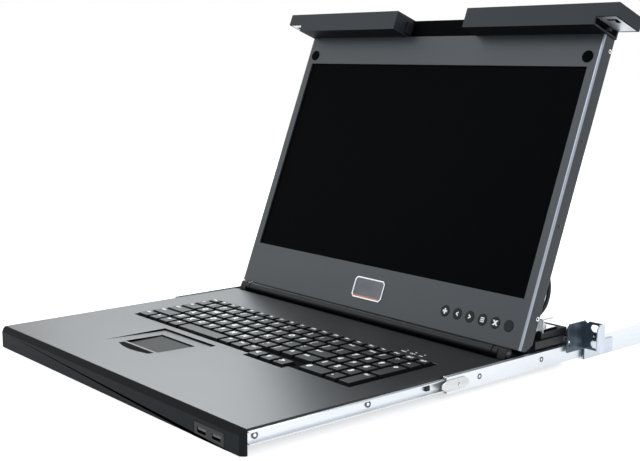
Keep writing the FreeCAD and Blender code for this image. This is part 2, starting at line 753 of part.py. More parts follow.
def make_touchpad():
    pad = sub_part("touchpad")
    half = "pad_width / 2"
    block(pad, (f"pad_centre - {half}", f"pad_centre + {half}"), ("pad_front", "pad_front + pad_depth"),
          ("-pad_sunk - pad_thickness", "-pad_sunk"))
    tray = sub_part("touchpad_tray")
    wide = "recess_width / 2 - 2 * deck_sheet"
    floor = "(-pad_sunk - pad_thickness)"
    block(tray, (f"pad_centre - {wide}", f"pad_centre + {wide}"),
          ("pad_button_front - pad_lap", "pad_front + pad_depth + pad_lap"), (f"{floor} - deck_sheet", floor))
    for low, high in (("pad_centre - recess_width / 2 + 2 * deck_sheet", "pad_centre - pad_width / 2 - pad_lap"),
                      ("pad_centre + pad_width / 2 + pad_lap", "pad_centre + recess_width / 2 - 2 * deck_sheet")):
        block(tray, (low, high), ("pad_button_front - pad_lap", "pad_front + pad_depth + pad_lap"),
              (floor, "-recess_fall - deck_sheet"))
    split = "pad_button_clearance / 2"
    for label, limits in (
            ("right_pad_button", ("pad_centre - pad_button_width", f"pad_centre + {split}")),
            ("left_pad_button", (f"pad_centre - {split}", "pad_centre + pad_button_width"))):
        button = sub_part(label)
        outline = sketch_on(button, "XY_Plane", "pad_button_top - pad_button_height / 2")
        button_outline(outline, "pad_button_width / 2", "0")
        extrude(button, outline, "pad_button_top - pad_button_height", "pad_button_top", False)
        block(button, limits, ("0", "2 * pad_front"), ("-2 * skirt_drop", "skirt_drop"), cut=True)


# ---------------------------------------------------------------- hinge and rear housing

KNUCKLE_END = "(knuckle_start + knuckle_width)"
BLOCK_START = f"({KNUCKLE_END} + hinge_side_gap)"
BLOCK_END = f"({BLOCK_START} + hinge_block_width)"


def make_hinge():
    barrel = sub_part("hinge_barrel")
    half = "hinge_barrel_half"
    axis = ("hinge_y", "hinge_z")
    disc(barrel, "YZ_Plane", axis, "hinge_barrel_radius", f"-{half}", half)
    for low, high in (("hinge_pin_start", "2 * hinge_barrel_half"), ("-2 * hinge_barrel_half", "-hinge_pin_start")):
        disc(barrel, "YZ_Plane", axis, "hinge_pin_radius", low, high, cut=True)
    saddle = "hinge_barrel_radius / 2"
    for low, high in (("-hinge_barrel_half", "saddle_width - hinge_barrel_half"),
                      ("-saddle_width / 2", "saddle_width / 2"),
                      ("hinge_barrel_half - saddle_width", "hinge_barrel_half")):
        block(barrel, (low, high), (f"hinge_y - {saddle}", f"hinge_y + {saddle}"),
              ("-shelf_drop", "hinge_z - hinge_pin_radius - deck_sheet"))
    base = sub_part("hinge_bracket_right")
    KEPT.remove(base)
    foot = "(hinge_barrel_radius + 2 * hinge_side_gap)"
    upright = [(f"hinge_y - {foot}", "-shelf_drop"), (f"hinge_y + {foot}", "-shelf_drop"),
               ("hinge_y + hinge_barrel_radius", "hinge_z"),
               ("hinge_y + hinge_barrel_radius / 2", "hinge_z + hinge_barrel_radius"),
               ("hinge_y - hinge_barrel_radius / 2", "hinge_z + hinge_barrel_radius"),
               ("hinge_y - hinge_barrel_radius", "hinge_z")]
    prism(base, "YZ_Plane", upright, BLOCK_START, BLOCK_END)
    disc(base, "YZ_Plane", axis, "hinge_pin_radius", f"{BLOCK_START} - 1", f"{BLOCK_END} + 1", cut=True)
    other = mirrored(base, "hinge_bracket_left")
    KEPT.remove(other)
    group("hinge_brackets", [base, other])
    pins = []
    for hand in ("", "-"):
        start = f"{hand}({BLOCK_END})" if hand else "hinge_pin_start"
        pin = cylinder("hinge_pin_radius", f"{BLOCK_END} - hinge_pin_start", (start, "hinge_y", "hinge_z"), ALONG_X)
        pins.append(pin)
    group("hinge_pins", pins, DRAWER)

    leaf = sub_part("hinge_leaf_right", SCREEN)
    KEPT.remove(leaf)
    span = ("knuckle_start", KNUCKLE_END)
    disc(leaf, "YZ_Plane", ("0", "0"), "hinge_barrel_radius", *span)
    block(leaf, span, ("lcd_face_back + lcd_face_sheet", "hinge_barrel_radius + leaf_sheet"),
          ("0", "lcd_edge_rise + leaf_height"))
    disc(leaf, "YZ_Plane", ("0", "0"), "hinge_pin_radius + hinge_clearance", "knuckle_start - 1",
         f"{KNUCKLE_END} + 1", cut=True)
    twin = mirrored(leaf, "hinge_leaf_left")
    KEPT.remove(twin)
    group("hinge_leaves", [leaf, twin])


def make_rear_housing():
    housing = sub_part("rear_housing")
    low = "pan_width / 2 - deck_sheet - key_clearance"
    back = "pan_length - deck_sheet - key_clearance"
    shelf = [("deck_depth + key_clearance", "-shelf_drop - shelf_sheet"), (back, "-shelf_drop - shelf_sheet"),
             (back, "housing_skirt + 1"), ("housing_front", "housing_skirt + 1"),
             ("housing_front", "-shelf_drop"), ("deck_depth + key_clearance", "-shelf_drop")]
    prism(housing, "YZ_Plane", shelf, f"-({low})", low)
    wide = "housing_width / 2"
    block(housing, (f"-{wide}", wide), ("housing_front", "pan_length"), ("housing_skirt", "housing_top"))
    wide = "upper_housing_width / 2"
    block(housing, (f"-{wide}", wide), ("upper_housing_front", "upper_housing_back"),
          ("housing_top - 1", "upper_housing_top"))
    # hollow from below, so that it is a cover
    wall = "deck_sheet"
    block(housing, (f"{wall} - ({low})", f"({low}) - {wall}"), (f"housing_front + {wall}", f"{back} - {wall}"),
          ("-2 * shelf_drop", f"housing_top - {wall}"), cut=True)
    # the middle of the upper step stays low, so that only its two ends stand up
    block(housing, ("-upper_housing_gap / 2", "upper_housing_gap / 2"), ("deck_depth", "2 * pan_length"),
          ("housing_top", "2 * upper_housing_top"), cut=True)


# ---------------------------------------------------------------- screen
# The screen's own frame is upright: the hinge axis is its origin, its face looks along -Y.

FACE = "lcd_face_back"
BACK = "(lcd_face_back + lcd_thickness)"
FOOT = "lcd_edge_rise"
HEAD = "(lcd_edge_rise + lcd_height)"


def make_screen_frame():
    frame = sub_part("lcd_front_frame", SCREEN)
    side = "lcd_width / 2"
    block(frame, (f"-{side}", side), (FACE, f"{FACE} + lcd_face_sheet"), (FOOT, HEAD))
    # side walls follow the cut-away heel of the back cover
    inner_back = f"({BACK} - lcd_face_sheet)"
    wall = [(FACE, FOOT), (f"{inner_back} - lcd_heel", FOOT), (inner_back, f"{FOOT} + lcd_heel"),
            (inner_back, HEAD), (FACE, HEAD)]
    prism(frame, "YZ_Plane", wall, f"{side} - lcd_wall", side)
    prism(frame, "YZ_Plane", wall, f"-{side}", f"lcd_wall - {side}")
    block(frame, (f"-{side}", side), (FACE, inner_back), (f"{HEAD} - lcd_wall", HEAD))
    block(frame, (f"-{side}", side), (FACE, f"{inner_back} - lcd_heel"), (FOOT, f"{FOOT} + lcd_wall"))
    half = "screen_width / 2"
    block(frame, (f"-{half}", half), (f"{FACE} - 1", f"{FACE} + 2 * lcd_face_sheet"),
          (f"{FOOT} + screen_bottom", f"{FOOT} + screen_bottom + screen_height"), cut=True)
    for x in BUTTON_X + [POWER_X]:
        disc(frame, "XZ_Plane", (x, f"{FOOT} + button_rise"), "button_radius + button_clearance",
             f"{FACE} - 1", f"{FACE} + 2 * lcd_face_sheet", cut=True)
    # slots in the lower wall for the hinge leaves
    for hand in ("", "-"):
        ends = [f"{hand}(knuckle_start - hinge_side_gap)", f"{hand}({KNUCKLE_END} + hinge_side_gap)"]
        if hand:
            ends.reverse()
        block(frame, ends, (f"{FACE} + lcd_face_sheet", BACK), ("0", f"{FOOT} + 2 * lcd_wall"), cut=True)


def make_back_cover():
    cover = sub_part("lcd_back_cover", SCREEN)
    side = "lcd_width / 2"
    inner = f"({BACK} - lcd_face_sheet)"
    profile = [(f"{inner} - lcd_heel", FOOT), (f"{BACK} - lcd_heel", FOOT), (BACK, f"{FOOT} + lcd_heel"),
               (BACK, HEAD), (inner, HEAD), (inner, f"{FOOT} + lcd_heel")]
    prism(cover, "YZ_Plane", profile, f"-{side}", side)
    for hand in ("", "-"):
        ends = [f"{hand}(knuckle_start - hinge_side_gap)", f"{hand}({KNUCKLE_END} + hinge_side_gap)"]
        if hand:
            ends.reverse()
        block(cover, ends, ("0", f"{BACK} - lcd_heel + lcd_face_sheet"), ("0", f"{FOOT} + lcd_wall"), cut=True)
    # windows for the two ends of the cable
    for low, high in (("cable_rise - cable_window", "cable_rise + cable_window / 2"),
                      ("cable_rise + cable_drop - cable_window / 2", "cable_rise + cable_drop + cable_window")):
        block(cover, ("cable_across - cable_size / 2 - button_clearance",
                      "cable_across + cable_size / 2 + button_clearance"),
              (f"{BACK} - 2 * lcd_face_sheet", f"{BACK} + lcd_face_sheet"),
              (f"{FOOT} + {low}", f"{FOOT} + {high}"), cut=True)
    # centre panel between the two wings
    inside = "wing_inner - wing_gap"
    block(cover, (f"-({inside})", inside), (f"{BACK} - centre_panel_depth", BACK),
          (HEAD, f"{HEAD} + centre_panel_rise"))


def make_panel():
    panel = sub_part("lcd_panel", SCREEN)
    half = "screen_width / 2 + panel_lap"
    block(panel, (f"-({half})", half), (f"{FACE} + lcd_face_sheet", f"{FACE} + lcd_face_sheet + panel_thickness"),
          (f"{FOOT} + screen_bottom - panel_lap", f"{FOOT} + screen_bottom + screen_height + panel_lap"))


BUTTON_X = [f"button_first + {index} * button_pitch" for index in range(5)]
POWER_X = "button_first + 5 * button_pitch"
BUTTON_LABELS = ["plus_button", "left_button", "right_button", "menu_button", "exit_button", "power_button"]


def make_buttons():
    for label, x in zip(BUTTON_LABELS, BUTTON_X + [POWER_X]):
        button = sub_part(label, SCREEN)
        face = f"{FACE} - button_proud"
        disc(button, "XZ_Plane", (x, f"{FOOT} + button_rise"), "button_radius", face, f"{face} + button_body")
    board = sub_part("button_board", SCREEN)
    back = f"{FACE} - button_proud + button_body + button_travel + button_clearance"
    block(board, ("button_first - button_pitch", "button_first + 6 * button_pitch"),
          (back, f"{back} + board_thickness"),
          (f"{FOOT} + button_rise - button_pitch / 2", f"{FOOT} + button_rise + button_pitch / 2"))


def make_badge():
    badge = sub_part("badge_plate", SCREEN)
    half = "badge_width / 2"
    low = f"{FOOT} + badge_rise"
    high = f"{low} + badge_height"
    corners = [(f"-{half}", f"{low} + badge_corner"), (f"badge_corner - {half}", low),
               (f"{half} - badge_corner", low), (half, f"{low} + badge_corner"),
               (half, f"{high} - badge_corner"), (f"{half} - badge_corner", high),
               (f"badge_corner - {half}", high), (f"-{half}", f"{high} - badge_corner")]
    prism(badge, "XZ_Plane", corners, f"{FACE} - badge_thickness", FACE)


def make_bumpers():
    bumpers = [cylinder("bumper_radius", "bumper_proud", (f"{hand}bumper_across", f"{FACE} - bumper_proud",
                                                          f"{FOOT} + bumper_up"), ALONG_Y) for hand in ("", "-")]
    group("lcd_bumpers", bumpers, SCREEN)


def make_wings():
    wing = sub_part("right_wing", SCREEN)
    front = f"({FACE} - wing_front)"
    high = f"({HEAD} + wing_depth)"
    block(wing, ("wing_inner", "wing_outer"), (front, BACK), (HEAD, high))
    block(wing, ("wing_inner + wing_wall", "wing_outer - wing_wall"), (f"{front} + wing_wall", f"{BACK} - wing_wall"),
          (f"{HEAD} + wing_wall", f"{high} - wing_wall"), cut=True)
    # the notch at the outer end takes the ear's blade when the drawer is shut
    block(wing, ("latch_notch", "wing_outer + 1"), (f"{front} - 1", f"{BACK} + 1"),
          (f"{HEAD} - 1", f"{HEAD} + latch_notch_depth"), cut=True)
    spare = "bolt_clearance"
    block(wing, ("wing_inner - 1", "wing_inner + 2 * wing_wall"),
          (f"bolt_back - bolt_height / 2 - {spare}", f"bolt_back + bolt_height / 2 + {spare}"),
          (f"{BOLT_Z} - bolt_thick / 2 - {spare}", f"{BOLT_Z} + bolt_thick / 2 + {spare}"), cut=True)
    mirrored(wing, "left_wing")


BOLT_Z = f"({HEAD} + bolt_up)"


def make_latches():
    """A folded steel plate in each wing's notch, and the spring bolt that passes through it."""
    plate = sub_part("latch_plate_right", SCREEN)
    KEPT.remove(plate)
    front = f"({FACE} - wing_front + wing_wall)"
    back = f"({BACK} - wing_wall)"
    ceiling = f"({HEAD} + latch_notch_depth)"
    block(plate, ("latch_notch - latch_sheet", "wing_outer - wing_wall"), (front, back),
          (ceiling, f"{ceiling} + latch_sheet"))
    block(plate, ("latch_notch - latch_sheet", "latch_notch"), (front, back),
          (f"{HEAD} + wing_wall", f"{ceiling} + latch_sheet"))
    spare = "bolt_clearance"
    block(plate, ("latch_notch - 2 * latch_sheet", "latch_notch + latch_sheet"),
          (f"bolt_back - bolt_height / 2 - {spare}", f"bolt_back + bolt_height / 2 + {spare}"),
          (f"{BOLT_Z} - bolt_thick / 2 - {spare}", f"{BOLT_Z} + bolt_thick / 2 + {spare}"), cut=True)
    # hook-shaped opening and two screw holes
    start, end = "(latch_notch + hook_start)", "(latch_notch + hook_start + hook_length)"
    near, turn, far = (f"{front} + hook_front", f"{front} + hook_front + hook_width",
                       f"{front} + hook_front + 2 * hook_width")
    hook = [(start, near), (end, near), (end, far), (f"{end} - hook_width", far),
            (f"{end} - hook_width", turn), (start, turn)]
    prism(plate, "XY_Plane", hook, f"{ceiling} - 1", f"{ceiling} + 2 * latch_sheet", cut=True)
    for place in (f"{front} + latch_screw_front", f"{back} - latch_screw_inset"):
        disc(plate, "XY_Plane", ("latch_notch + latch_screw_inset", place), "latch_sheet", f"{ceiling} - 1",
             f"{ceiling} + 2 * latch_sheet", cut=True)
    twin = mirrored(plate, "latch_plate_left")
    KEPT.remove(twin)
    group("latch_plates", [plate, twin])

    bolt = sub_part("right_latch_bolt", SCREEN)
    block(bolt, ("wing_inner - thumb_gap", "bolt_reach"),
          ("bolt_back - bolt_height / 2", "bolt_back + bolt_height / 2"),
          (f"{BOLT_Z} - bolt_thick / 2", f"{BOLT_Z} + bolt_thick / 2"))
    block(bolt, ("wing_inner - thumb_gap - thumb_thick", "wing_inner - thumb_gap"),
          ("bolt_back - thumb_width / 2", "bolt_back + thumb_width / 2"),
          (f"{BOLT_Z} - bolt_thick / 2", f"{BOLT_Z} - bolt_thick / 2 + thumb_height"))
    mirrored(bolt, "left_latch_bolt")


# ---------------------------------------------------------------- slide locks, screws and cable

def make_slide_locks():
    """A sprung plate on the front end of each middle rail, which a finger lifts to let the drawer in."""
    lock = sub_part("right_slide_lock")
    start = f"{MIDDLE_END} + lock_gap"
    front = "middle_rail_front - lock_nose"
    back = "middle_rail_front + lock_length"
    low, high = "-rail_drop - lock_height / 2", "-rail_drop + lock_height / 2"
    outline = [(front, f"{low} + lock_nose / 2"), ("middle_rail_front", low), (f"{back} - lock_height / 2", low),
               (back, f"{low} + lock_height / 3"), (back, f"{high} - lock_height / 3"),
               (f"{back} - lock_height / 2", high), ("middle_rail_front", high), (front, f"{high} - lock_nose / 2")]
    prism(lock, "YZ_Plane", outline, start, f"{start} + lock_sheet")
    disc(lock, "YZ_Plane", ("middle_rail_front + lock_length / 2", "-rail_drop"), "lock_hole",
         f"{start} - 1", f"{start} + 1 + lock_sheet", cut=True)
    mirrored(lock, "left_slide_lock")


def make_slide_screws():
    screws = []
    for hand in ("", "-"):
        start = "rail_start + rail_sheet" if not hand else "-rail_start - rail_sheet - rail_screw_rise"
        for place in ("screw_first", "screw_first + screw_pitch", "screw_first + 2 * screw_pitch",
                      "screw_first + 3 * screw_pitch"):
            screws.append(cylinder("rail_screw_head", "rail_screw_rise",
                                   (start, place, "screw_lift - rail_drop"), ALONG_X))
    group("slide_screws", screws, DRAWER)


def make_cable_bracket():
    """A folded sheet on the rear housing that guides the screen's cable."""
    bracket = sub_part("cable_bracket")
    low, high = "bracket_inner", "bracket_inner + bracket_width"
    front = "bracket_front"
    top = "bracket_top"
    profile = [(front, "housing_top"), (f"{front} + bracket_sheet", "housing_top"),
               (f"{front} + bracket_sheet", f"{top} - bracket_sheet"), (f"{front} + bracket_depth", f"{top} - bracket_sheet"),
               (f"{front} + bracket_depth", top), (front, top)]
    prism(bracket, "YZ_Plane", profile, low, high)
    disc(bracket, "XZ_Plane", ("bracket_inner + bracket_width / 2", "(housing_top + bracket_top) / 2"),
         "bracket_hole", f"{front} - 1", f"{front} + 1 + bracket_sheet", cut=True)


def size(name):
    return float(sheet.get(name))


def make_cable():
    """The screen's cable: out of the back cover, down in a shallow loop, and in again."""
    back = size("lcd_face_back") + size("lcd_thickness")
    foot = size("lcd_edge_rise") + size("cable_rise")
    route = [(0, 40), (8, 30), (10.5, 18), (8.5, 6), (0, -3)]
    points = [FreeCAD.Vector(size("cable_across"), back + y, foot + z) for y, z in route]
    edges = []
    at = points[0]
    for before, corner, after in zip(points, points[1:], points[2:]):
        arrive, leave = corner - before, after - corner
        half_turn = arrive.getAngle(leave) / 2
        trim = 0.45 * min(arrive.Length, leave.Length)
        radius = trim / math.tan(half_turn)
        print(f"lcd_cable bend radius {radius:.1f} mm")
        arrive.normalize()
        leave.normalize()
        first, last = corner - arrive * trim, corner + leave * trim
        inward = (leave - arrive).normalize()
        middle = corner + inward * (radius / math.cos(half_turn) - radius)
        edges += [Part.LineSegment(at, first).toShape(), Part.Arc(first, middle, last).toShape()]
        at = last
    edges.append(Part.LineSegment(at, points[-1]).toShape())
    radius = size("cable_size") / 2
    ring = Part.Wire([Part.Circle(points[0], points[1] - points[0], radius).toShape()])
    path = Part.Wire(edges)
    cable = doc.addObject("Part::Feature", "lcd_cable")
    cable.Shape = path.makePipeShell([ring], True, False)
    cable.Label = "lcd_cable"
    print(f"lcd_cable length {path.Length:.1f} mm, volume {cable.Shape.Volume:.1f},"
          f" section times length {math.pi * radius ** 2 * path.Length:.1f}")
    seat(cable, SCREEN, "-lcd_lean")
    KEPT.append(cable)


make_slides()
make_cages()
make_ears()
make_rear_brackets()
make_pan()
make_deck()
make_bezel()
make_usb()
make_keys()
make_keyboard_frame()
make_touchpad()
make_hinge()
make_rear_housing()
make_screen_frame()
make_back_cover()
make_panel()
make_buttons()
make_badge()
make_bumpers()
make_wings()
make_latches()
make_slide_locks()
make_slide_screws()
make_cable_bracket()
make_cable()

doc.recompute()
broken = [one.Label for one in doc.Objects if "Invalid" in one.State or "Error" in one.State]
broken += [one.Label for one in KEPT if one.Shape.isNull() or not one.Shape.isValid()]
if broken:
    raise RuntimeError("these failed to build: " + ", ".join(broken))

os.makedirs("parts", exist_ok=True)
for one in KEPT:
    one.Shape.exportStep(os.path.join("parts", one.Label + ".step"))
    box = one.Shape.BoundBox
    print(f"{one.Label:22s} {len(one.Shape.Solids):3d} solids {one.Shape.Volume / 1000:9.2f} cm3"
          f"  x {box.XMin:7.1f} {box.XMax:7.1f}  y {box.YMin:7.1f} {box.YMax:7.1f}"
          f"  z {box.ZMin:7.1f} {box.ZMax:7.1f}")
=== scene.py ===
import json
import math

import bpy
from mathutils import Matrix, Vector


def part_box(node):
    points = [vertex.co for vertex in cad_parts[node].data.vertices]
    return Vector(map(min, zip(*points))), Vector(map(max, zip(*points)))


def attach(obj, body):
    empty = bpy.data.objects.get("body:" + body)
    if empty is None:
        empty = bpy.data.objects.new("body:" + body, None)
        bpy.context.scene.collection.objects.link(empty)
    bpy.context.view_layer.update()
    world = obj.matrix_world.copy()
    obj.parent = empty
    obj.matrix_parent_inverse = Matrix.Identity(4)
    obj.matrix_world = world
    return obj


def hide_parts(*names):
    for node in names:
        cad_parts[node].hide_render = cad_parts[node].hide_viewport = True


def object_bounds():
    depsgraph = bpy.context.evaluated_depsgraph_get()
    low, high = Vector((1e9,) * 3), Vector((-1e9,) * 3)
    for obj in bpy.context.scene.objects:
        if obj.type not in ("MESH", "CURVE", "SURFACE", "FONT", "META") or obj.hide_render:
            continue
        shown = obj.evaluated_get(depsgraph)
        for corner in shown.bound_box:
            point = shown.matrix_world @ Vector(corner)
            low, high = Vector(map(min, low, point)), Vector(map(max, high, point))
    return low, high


bl_info = {
    "name": "Rack Console Drawer",
    "version": (1, 0, 0),
    "blender": (4, 5, 0),
    "location": "3D View > Sidebar > Console Drawer",
    "description": "Coatings, key caps, legends and small parts of a rack console drawer",
    "category": "Object",
}

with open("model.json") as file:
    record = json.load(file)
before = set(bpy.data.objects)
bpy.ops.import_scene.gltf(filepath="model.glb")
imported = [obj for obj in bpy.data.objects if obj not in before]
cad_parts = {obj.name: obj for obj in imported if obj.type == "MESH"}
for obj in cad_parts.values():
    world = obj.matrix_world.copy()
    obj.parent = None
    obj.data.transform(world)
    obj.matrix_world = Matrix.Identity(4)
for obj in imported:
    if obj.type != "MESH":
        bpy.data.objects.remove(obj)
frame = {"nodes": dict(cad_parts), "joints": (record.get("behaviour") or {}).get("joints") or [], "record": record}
CAD_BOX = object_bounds()

MM = 0.001
JOINTS = {joint["name"]: joint for joint in frame["joints"]}
HINGE = Vector(JOINTS["screen_hinge"]["pos_m"])
LEAN = math.radians(JOINTS["screen_hinge"]["range_deg"][1] - 90)
# the screen's own frame: X along the hinge, Y through the screen, Z up its face
SCREEN = Matrix.Translation(HINGE) @ Matrix.Rotation(-LEAN, 4, "X")

LEVEL = Matrix.Identity(4)
UPRIGHT = Matrix.Rotation(math.radians(90), 4, "X")
TO_RIGHT = Matrix.Rotation(math.radians(90), 4, "Y")
TO_LEFT = Matrix.Rotation(math.radians(-90), 4, "Y")


# ------------------------------------------------------------------ sizes and places
# Lengths here are in millimetres. Places on the screen are in its own frame, and places on the
# deck are measured from the middle of its front edge.

# the screen: its face, its back, the foot of the gap between its wings, and where the narrow
# strips along its sides begin
SCREEN_FACE = 2.7
SCREEN_BACK = 19.2
WING_GAP_FOOT = 318.5
SIDE_STRIP = 214
SIDE_CHAMFER = 2.0
# how near to a side or to a face an edge or a face counts as on it, and what counts as long
SIDE_SLACK = 0.1
FACE_SLACK = 0.2
LONG_EDGE = 50
# screws in the screen's sides: how far up, how far back, radius and finish
SCREEN_SCREWS = ((305, 15.7, 2.2, "bright_steel"), (39.4, 15.7, 2.2, "bright_steel"),
                 (213.4, 11.7, 1.5, "dark_steel"), (128.8, 11.7, 1.5, "dark_steel"))
SCREEN_SCREW_RISE = 0.5

# the bare name plate: its rim, the step down to its field and the stripe along its lower edge
BADGE_THICKNESS = 0.8
BADGE_RIM = 1.1
BADGE_STEP = 0.25
BADGE_SINK = 0.2
STRIPE_FOOT = 19.6
STRIPE = ((-20.5, -0.10, 0), (20.5, 0.12, 1.3))
STRIPE_ROUNDING = 0.04

# the face of the screen's buttons, how far up their row is, and their signs: node, sign, height
# and share of the letter's width
BUTTON_FACE = 2.3
BUTTON_RISE = 26.0
BUTTON_SIGNS = (("plus_button", "+", 9.5, 1.0), ("left_button", "<", 7.5, 0.7),
                ("right_button", ">", 7.5, 0.7), ("exit_button", "x", 9.0, 1.0))
# the menu button's three lines: how far up each is, then half a line's width and height
MENU_LINES = (-1.8, 0, 1.8)
MENU_LINE = (2.3, 0.55)
PRINT_ROUNDING = 0.01

# the cable's route: how far out of the cover's back, and how far up from its foot
CABLE_ROUTE = ((0, 40), (8, 30), (10.5, 18), (8.5, 6), (0, -3))
CABLE_FOOT = 44.0
CABLE_DIAMETER = 4.0

# the cable's clamp: how far its folded sheet is moved, a block in front of the housing, and on the
# roof of the housing, from its right front corner, a pad, a plate and a ring with a bolt in it
SHEET_MOVE = (0, 9, 4)
CLAMP_BLOCK = ((201, 341, 18), (209, 346.9, 30))
CLAMP_PAD = ((-17, 1.5, 0), (-2, 27, 0.9))
CLAMP_PLATE = ((-15.8, 2.7, 0.9), (-3.2, 25.8, 2.2))
SHEET_ROUNDING = 0.2
BLOCK_ROUNDING = 0.6
PAD_ROUNDING = 0.3
PLATE_ROUNDING = 0.4
RING_ROUNDING = 0.5
CLAMP_RING_PLACE = (-9.5, 10, 2.2)
CLAMP_RING = (5.6, 3.0, 3.8)
CLAMP_BOLT = (2.8, 2.4)
ROOF_LAYER = 0.4

# the keys: the flat rim of a cap, and where its legend starts from its upper left corner
CAP_RIM = 1.2
LEGEND_CORNER = (2.8, -2.6)
# shares of a letter's height: in words, in paired signs, and how much the strokes are thickened
WORD_SHARE = 0.50
PAIR_SHARE = 0.62
SIGN_BOLD = 0.06
LEGEND_BOLD = 0.09

# the touchpad: its dark rim, which is painted shade of the gap round it, the step down to its field, and the
# hollow in the deck it lies in, whose walls get painted shade
PAD_RIM = 1.6
PAD_STEP = 0.3
PAD_SINK = 0.15
PAD_HOLLOW = ((-98, 10), (49, 123))
HOLLOW_DEPTH = 5

# the lock lamps: how far to the right they are and what they say, then how far back their lenses
# are, with a lens's radius and rise, and how far back their labels are
LAMPS = ((128.4, "Num"), (139.9, "Caps"), (151.2, "Scr"))
LENS_ALONG = 251.5
LENS = (1.1, 0.25)
LABEL_ALONG = 246.5
LABEL_HEIGHT = 3.4

# the inner rail's web from its inner side, and how far above the rail's middle its screws are
RAIL_WEB = 1.1
RAIL_LIFT = 1.0
# screws and rings: radius and rise, and how far back along the rail each is
RAIL_SCREW = (2.9, 1.0)
RAIL_SCREWS_ALONG = (6.5, 123.0, 239.5, 356.0)
RAIL_RING = (2.6, 0.3)
RAIL_RINGS_ALONG = (254.0, 341.0)
# the stops: how thick they are and how far they reach forward, back, up and down
STOP = 2.4
STOP_ALONG = 191.5
STOP_LIFT = 1.2
STOP_ROUNDING = 0.4
# the screws in the rear housing's ends: radius and rise, then how far back and how far up
HOUSING_SCREW = (2.4, 0.6)
HOUSING_SCREW_PLACE = (377, 8)

# the ears: where the lip starts, the strip across that holds the slots, and the peg between them
EAR_LIP = 241.5
EAR_SLOTS = (228, 238)
EAR_PEG = (2.5, 1.2)
EAR_PEG_ACROSS = 232.6

# how squarely a face is turned some way: its normal's share along that way
FACING = 0.9
CAP_TOP = 0.75
MOSTLY = 0.7
PARTLY = 0.5
SLANTED = 0.3
SIDE_SLANT = 0.25

# shares of a screw head's radius and of its rise
HEAD_RIM = 0.40
SOCKET_RIM = 0.15
HEAD_CORE = 0.5
HEAD_ROUNDING = 0.06
HEAD_DISH = 0.3
SOCKET_DEPTH = 0.4


# ------------------------------------------------------------------ settings

def colour(label, text, default):
    return bpy.props.FloatVectorProperty(name=label, description=text, default=default, size=3,
                                         min=0, max=1, subtype="COLOR")


def length(label, text, default):
    return bpy.props.FloatProperty(name=label, description=text, default=default, min=0,
                                   unit="LENGTH")


class ConsoleColours(bpy.types.PropertyGroup):
    deck: colour("Deck", "Powder coat of the drawer's top cover", (0.004, 0.0052, 0.0068))
    bezel: colour("Bezel", "Moulded front bezel", (0.0055, 0.0075, 0.0095))
    screen_case: colour("Screen case", "Coat of the screen's frame and cover",
                        (0.011, 0.0155, 0.021))
    wing: colour("Wings", "Moulded wings along the screen's top", (0.008, 0.0115, 0.016))
    panel: colour("Panel", "The screen when it is off", (0.0010, 0.0016, 0.0019))
    cap: colour("Key caps", "Plastic of the key caps", (0.010, 0.0125, 0.015))
    legend: colour("Legends", "Print on the key caps and beside the buttons", (0.90, 0.91, 0.92))
    zinc: colour("Zinc", "Plating of the rails and ears", (0.72, 0.75, 0.78))
    steel: colour("Steel", "Bright bolts, screws and hooks", (0.80, 0.81, 0.82))
    rubber: colour("Rubber", "Jacket of the cable", (0.010, 0.010, 0.011))


class ConsoleSizes(bpy.types.PropertyGroup):
    key_radius: length("Key edge", "Radius on the edges of a key cap", 0.7 * MM)
    key_dish: length("Key dish", "How far the middle of a key cap is sunk", 0.25 * MM)
    legend_height: length("Legend height", "Height of a key's letter", 8.0 * MM)
    print_thickness: length("Print thickness", "How far print stands on its surface", 0.03 * MM)


# ------------------------------------------------------------------ tools of the bench

def only(*objects):
    bpy.ops.object.select_all(action="DESELECT")
    for one in objects:
        one.select_set(True)
    bpy.context.view_layer.objects.active = objects[0]


def in_edit(obj):
    only(obj)
    bpy.ops.object.mode_set(mode="EDIT")


def out_of_edit():
    bpy.ops.object.mode_set(mode="OBJECT")


def select_faces(obj, test):
    """Select, in edit mode, the faces that pass the test, and nothing else."""
    bpy.ops.mesh.select_mode(type="FACE")
    bpy.ops.mesh.select_all(action="DESELECT")
    out_of_edit()
    for face in obj.data.polygons:
        face.select = test(face)
    bpy.ops.object.mode_set(mode="EDIT")


def apply_modifier(obj, kind, **settings):
    only(obj)
    modifier = obj.modifiers.new(kind.lower(), kind)
    for name, value in settings.items():
        setattr(modifier, name, value)
    bpy.ops.object.modifier_apply(modifier=modifier.name)


def smooth(obj, degrees=35):
    """Smooth shading that leaves broad flat faces flat."""
    only(obj)
    bpy.ops.object.shade_smooth_by_angle(angle=math.radians(degrees))
    apply_modifier(obj, "WEIGHTED_NORMAL", keep_sharp=True, weight=90)


def round_edges(obj, width, segments=2, degrees=30):
    if width:
        apply_modifier(obj, "BEVEL", width=width, segments=segments, limit_method="ANGLE",
                       angle_limit=math.radians(degrees), use_clamp_overlap=True,
                       harden_normals=False, miter_outer="MITER_SHARP")


def settle(obj, matrix=None):
    """Put a new piece where it belongs, and keep its place in its mesh."""
    if matrix is not None:
        obj.matrix_world = matrix @ obj.matrix_world
        bpy.context.view_layer.update()
    only(obj)
    bpy.ops.object.transform_apply(location=True, rotation=True, scale=True)


def named(obj, name):
    obj.name = name
    obj.data.name = name
    return obj


def join(pieces, name):
    only(*pieces)
    if len(pieces) > 1:
        bpy.ops.object.join()
    return named(bpy.context.view_layer.objects.active, name)


def paint(obj, *materials):
    obj.data.materials.clear()
    for material in materials:
        obj.data.materials.append(material)


def spread_of(points, axis):
    """The lowest and highest of some points along an axis."""
    along = [point[axis] for point in points]
    return min(along), max(along)


# ------------------------------------------------------------------ nodes and bodies

def body_of(node):
    bodies = frame["record"]["behaviour"]["bodies"]
    return next(body for body, nodes in bodies.items() if node in nodes)


